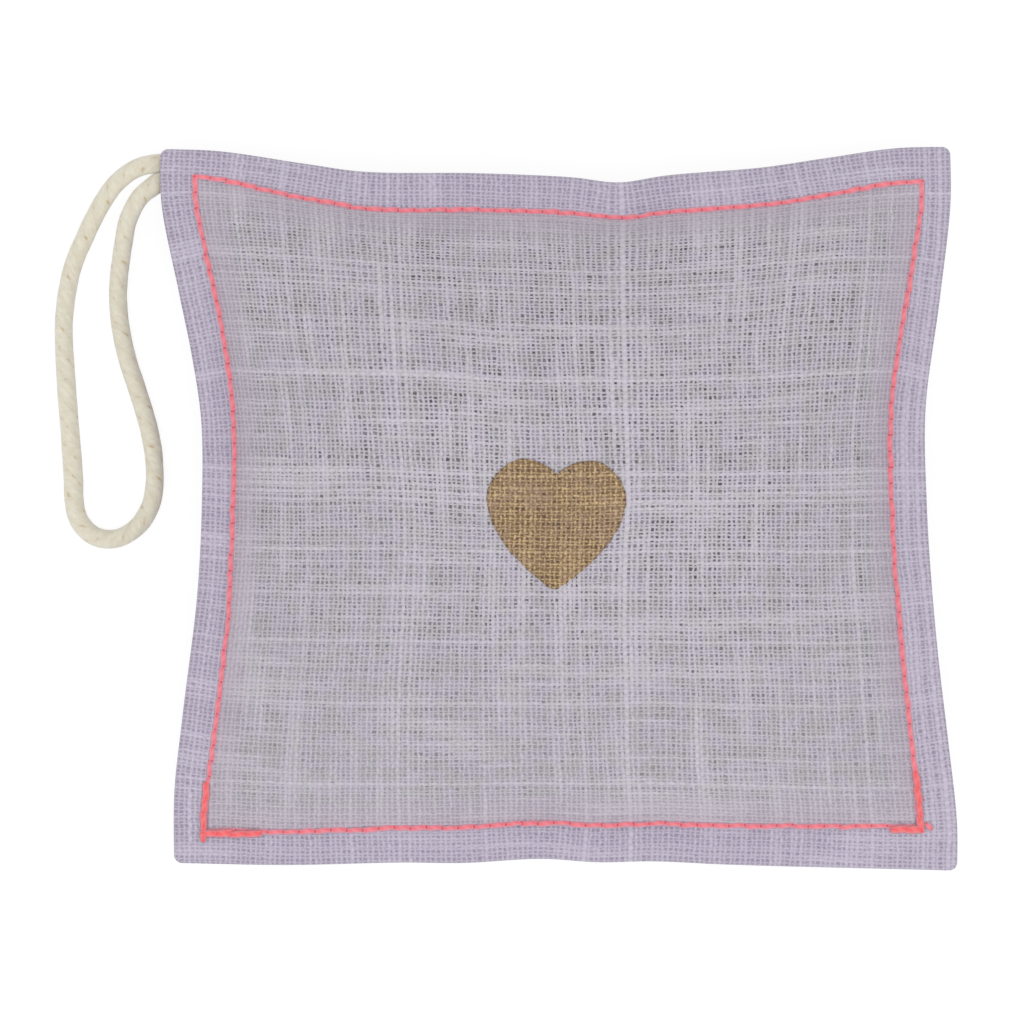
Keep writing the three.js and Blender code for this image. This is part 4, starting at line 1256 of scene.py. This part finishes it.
def add_heart(surface):
    outline = heart_outline()
    outline[:, 1] = np.maximum(outline[:, 1], outline[:, 1].min() + BLUNT_TIP)
    cosine, sine = math.cos(PRINT_TURN), math.sin(PRINT_TURN)
    outline = outline @ np.array([[cosine, sine], [-sine, cosine]])
    count = len(outline)
    scales = np.linspace(0, 1, HEART_RINGS + 1)[1:]
    plan = np.vstack([[HEART_CENTRE], *(HEART_CENTRE + outline * scale for scale in scales)])
    plan[-count:] += np.random.default_rng(HEART_SEED).uniform(-RAGGEDNESS, RAGGEDNESS, (count, 2))
    heights = surface.heights(plan)
    heights[0] = heights[1 : count + 1].mean()
    top = np.column_stack([plan, heights + INK_LIFT + INK_THICKNESS])
    bottom = np.column_stack([plan, heights + INK_LIFT])
    sides = list(zip(range(count), [*range(1, count), 0]))
    faces = []
    for low in (0, len(plan)):
        made = [[low, low + 1 + a, low + 1 + b] for a, b in sides]
        for ring in range(HEART_RINGS - 1):
            near = low + 1 + ring * count
            made += [[near + a, near + count + a, near + count + b, near + b] for a, b in sides]
        faces += [face[::-1] for face in made] if low else made
    rim = 1 + (HEART_RINGS - 1) * count
    faces += [[rim + a, len(plan) + rim + a, len(plan) + rim + b, rim + b] for a, b in sides]
    piece = make_piece("gold_heart", np.vstack([top, bottom]), faces, gold_ink(FRONT_WEAVE))
    places = np.vstack([cloth_places(plan)] * 2)
    set_uv(piece, "cloth", places[[index for face in faces for index in face]])
    finish_piece(piece, "pouch", "gold_ink", "heart_print")


# Stitches
STITCH_RINGS = 13
STITCH_SIDES = 10
STITCH_SLANT = 0.07
STITCH_LIFT = 0.16
STITCH_DIVE = 0.03
STITCH_LAP = 0.1
STITCH_FLATNESS = 0.32
STITCH_WAIST = 0.22
STITCH_SHARES = (1 - np.cos(np.linspace(0, math.pi, STITCH_RINGS))) / 2 * (1 + 2 * STITCH_LAP) - STITCH_LAP
FROM_MIDDLE = np.abs(2 * STITCH_SHARES - 1)
ARCH_POWER = 6
WAIST_POWER = 4
STITCH_LEVELLING = 0.4
SLANT_SPREAD = 1.2
SWAY_SPREAD = 0.09
THREAD_SPREAD = 0.12
PLY_RELIEF = 0.06
PLY_TURN = 9
TOPSTITCH_SEED = 21
CLOSING_SEED = 22
TACK_SEED = 30
SEAM_CORNERS = np.array([[1, -1], [1, 1], [-1, 1], [-1, -1]])
# Back-tacks: the corner each starts from and the one it runs to, where it starts past the first
# corner, its stitches and their pitch, then how far it lies towards the edge
TACKS = {
    "left": (3, 2, -1.25, 4, 2.0, 0.12),
    "right": (0, 1, -0.55, 4, 2.1, 0.12),
    "closing_left": (3, 0, 0.1, 4, 2.05, 0.4),
    "closing_right": (0, 3, 0.1, 2, 2.05, 0.33),
}
TACK_WIDTH = 1.05
TACK_LIFT = STITCH_LIFT + 0.22
# The last stitch of the closing seam, set off from its right corner
STRAY_STITCH = np.array([(1.15, 0.5), (1.8, -0.38)])
LINE_SAMPLES = 300
LINE_OVERRUN = 0.03


def seam_places(start, end, share, out):
    """Patch places along one side of the topstitch figure, moved out towards the edge by a share."""
    p, q = (a + (b - a) * share for a, b in zip(start, end))
    u, v = stitch_uv(p, q)
    return u + (p - u) * out, v + (q - v) * out


def stitch_line(first, last, offset=0):
    """Plan points along one side of the topstitch figure, offset towards the edge.

    The line starts a little before its corner, and where the corner lies along it is given too.
    """
    share = np.linspace(-LINE_OVERRUN, 1, LINE_SAMPLES)
    line = patch(*seam_places(SEAM_CORNERS[first], SEAM_CORNERS[last], share, offset / STITCH_MARGIN))
    return line, float(np.interp(0, share, reach_of(line)))


def stitch_tube(start, end, surface, width, lift, draw):
    """One stitch: a plied thread that comes out of one needle hole and dips into the next."""
    way = (end - start) / np.linalg.norm(end - start)
    aside = np.array([-way[1], way[0]])
    lean = STITCH_SLANT * (1 + draw.uniform(-SLANT_SPREAD, SLANT_SPREAD))
    slant = lean * (1 - 2 * STITCH_SHARES) * -surface.sign
    sway = draw.uniform(-SWAY_SPREAD, SWAY_SPREAD)
    plan = start + (end - start) * STITCH_SHARES[:, None] + aside * (slant + sway)[:, None]
    arch = np.clip(1 - FROM_MIDDLE**ARCH_POWER, -1, 1)
    level = surface.heights(plan)
    level = level.mean() * STITCH_LEVELLING + level * (1 - STITCH_LEVELLING)
    centres = np.column_stack([plan, level + surface.sign * (lift - STITCH_DIVE * (1 - arch))])
    slim = 1 - STITCH_WAIST * np.minimum(FROM_MIDDLE, 1) ** WAIST_POWER
    half = width / 2 * (1 + draw.uniform(-THREAD_SPREAD, THREAD_SPREAD)) * slim
    spin = draw.uniform(0, 2 * math.pi)

    def relief(angles):
        return 1 + PLY_RELIEF * np.cos(2 * angles + spin + PLY_TURN * STITCH_SHARES[:, None])

    return tube(centres, half, half * STITCH_FLATNESS, STITCH_SIDES, relief)


def add_stitches(name, holes, surface, width, lift, material, seed, node):
    """A row of stitches: holes gives the two ends of each."""
    draw = np.random.default_rng(seed)
    points = []
    faces = []
    for start, end in holes:
        more_points, more_faces = stitch_tube(start, end, surface, width, lift, draw)
        first = sum(len(group) for group in points)
        faces += [[first + index for index in face] for face in more_faces]
        points.append(more_points)
    piece = make_piece(name, np.vstack(points), faces, material)
    one = tube_uv(STITCH_SHARES, STITCH_SIDES, 1 / STITCH_SIDES)
    set_uv(piece, "thread", np.tile(one, (len(holes), 1)))
    finish_piece(piece, "pouch", "coral_thread", node)


def sewn_side(first, last, trim_start=0, trim_end=0):
    """Stitches along one side of the topstitch figure, from corner to corner."""
    line, corner = stitch_line(first, last)
    start, end = corner + trim_start, reach_of(line)[-1] - trim_end
    count = round((end - start) / STITCH_PITCH)
    holes = along_line(line, np.linspace(start, end, count + 1))
    return list(zip(holes, holes[1:]))


def add_sewing(front, back):
    coral = sewing_thread("coral_thread", CORAL)
    strong = sewing_thread("coral_tack", CORAL_TACK)
    sides = [
        *sewn_side(0, 1, trim_start=STITCH_END_GAP), *sewn_side(1, 2),
        *sewn_side(2, 3, trim_end=STITCH_END_GAP),
    ]
    closing = sewn_side(3, 0)
    closing.append(tuple(closing[-1][1] + STRAY_STITCH))
    rows = (("topstitch", sides, TOPSTITCH_SEED), ("closing", closing, CLOSING_SEED))
    for face, piece, sign in (("needle", front, 1), ("bobbin", back, -1)):
        surface = Surface(piece, sign)
        for name, holes, seed in rows:
            row = f"{name}_{face}"
            add_stitches(row, holes, surface, STITCH_WIDTH, STITCH_LIFT, coral, seed, f"{row}_thread")
        for k, (place, (first, last, start, count, pitch, offset)) in enumerate(TACKS.items()):
            line, corner = stitch_line(first, last, offset)
            holes = along_line(line, corner + start + pitch * np.arange(count + 1))
            node = f"backtack_{place}_{face}"
            tacks = list(zip(holes, holes[1:]))
            seed = TACK_SEED + k
            add_stitches(f"{node}_stitches", tacks, surface, TACK_WIDTH, TACK_LIFT, strong, seed, node)


HIDDEN_SIDES = 8
HIDDEN_STITCHES = 160
HIDDEN_SAMPLES = 160
HIDDEN_RINGS = 700
HIDDEN_CLEARANCE = 0.2


def add_hidden_seam():
    """The seam between the panels on three sides, which passes over the cord's tails."""
    places = []
    share = np.linspace(0, 1, HIDDEN_SAMPLES)
    for start, end in zip(SEAM_CORNERS, SEAM_CORNERS[1:]):
        u, v = seam_places(start, end, share, 1 - SEAM_INSET / STITCH_MARGIN)
        over_tails = bulge_share(u, v) * (TAIL_THICKNESS / 2 + HIDDEN_CLEARANCE)
        places.append(np.column_stack([patch(u, v), middle_height(u, v) + over_tails]))
    line = evenly(np.vstack(places), HIDDEN_RINGS)
    half = np.full(len(line), SEAM_THREAD / 2)
    points, faces = tube(line, half, half, HIDDEN_SIDES)
    piece = make_piece("hidden_seam", points, faces, sewing_thread("inner_thread", INNER))
    along = np.linspace(0, HIDDEN_STITCHES, len(line)) % 1
    set_uv(piece, "thread", tube_uv(along, HIDDEN_SIDES, 1 / HIDDEN_SIDES))
    finish_piece(piece, "pouch", "inner_thread", "seam_thread")


# Stage
FLOOR_SIZE = 3
FLOOR_GREY = (0.8, 0.8, 0.8, 1)
FLOOR_SHADE = (0.2, 0.2, 0.2, 1)
FLOOR_GLOW = 0.87
WHITE = (1, 1, 1, 1)
WORLD_LEVEL = 0.8
KEY_POWER = 2.1
KEY_PLACE = (0.0, -0.4, 1.0)
KEY_SIZE = 0.7


def show(g, lit, seen, end):
    """Gives one shader to the rays that show the background, and another to those that light."""
    camera, gloss, clear = g.node("LightPath", {}, "Is Camera Ray", "Is Glossy Ray", "Is Transmission Ray")
    share = g.math("MAXIMUM", g.math("MAXIMUM", camera, gloss), clear)
    g.put(g.nodes[end].inputs[0], g.node("MixShader", {0: share, 1: lit, 2: seen}))


def add_floor():
    """A white floor: shown nearly white by itself, with the object's shadow kept."""
    half = FLOOR_SIZE / 2
    mesh = bpy.data.meshes.new("floor")
    corners = [(half * x, half * y, 0) for x, y in CORNERS.values()]
    mesh.from_pydata(corners, [], [(0, 1, 2, 3)])
    g = material_graph("floor")
    g.nodes.remove(g.nodes["Principled BSDF"])
    plain, dim = (g.node("BsdfDiffuse", {"Color": grey}) for grey in (FLOOR_GREY, FLOOR_SHADE))
    glow = g.node("Emission", {"Strength": FLOOR_GLOW})
    show(g, plain, g.node("AddShader", {0: dim, 1: glow}), "Material Output")
    mesh.materials.append(g.owner)
    floor = bpy.data.objects.new("floor", mesh)
    bpy.context.scene.collection.objects.link(floor)


def add_light():
    g = Graph(bpy.data.worlds.new("studio"))
    g.nodes.remove(g.nodes["Background"])
    soft, white = (g.node("Background", {"Color": WHITE, "Strength": level}) for level in (WORLD_LEVEL, 1.0))
    show(g, soft, white, "World Output")
    bpy.context.scene.world = g.owner
    data = bpy.data.lights.new("key", "AREA")
    data.energy = KEY_POWER
    data.size = KEY_SIZE
    key = bpy.data.objects.new("key", data)
    key.location = KEY_PLACE
    key.rotation_euler = (Vector((0, 0, 0)) - key.location).to_track_quat("-Z", "Y").to_euler()
    bpy.context.scene.collection.objects.link(key)


bpy.context.scene.view_settings.view_transform = "Standard"
add_camera()
add_cord()
front, back = add_pouch()
add_heart(Surface(front, 1))
add_sewing(front, back)
add_hidden_seam()
add_floor()
add_light()
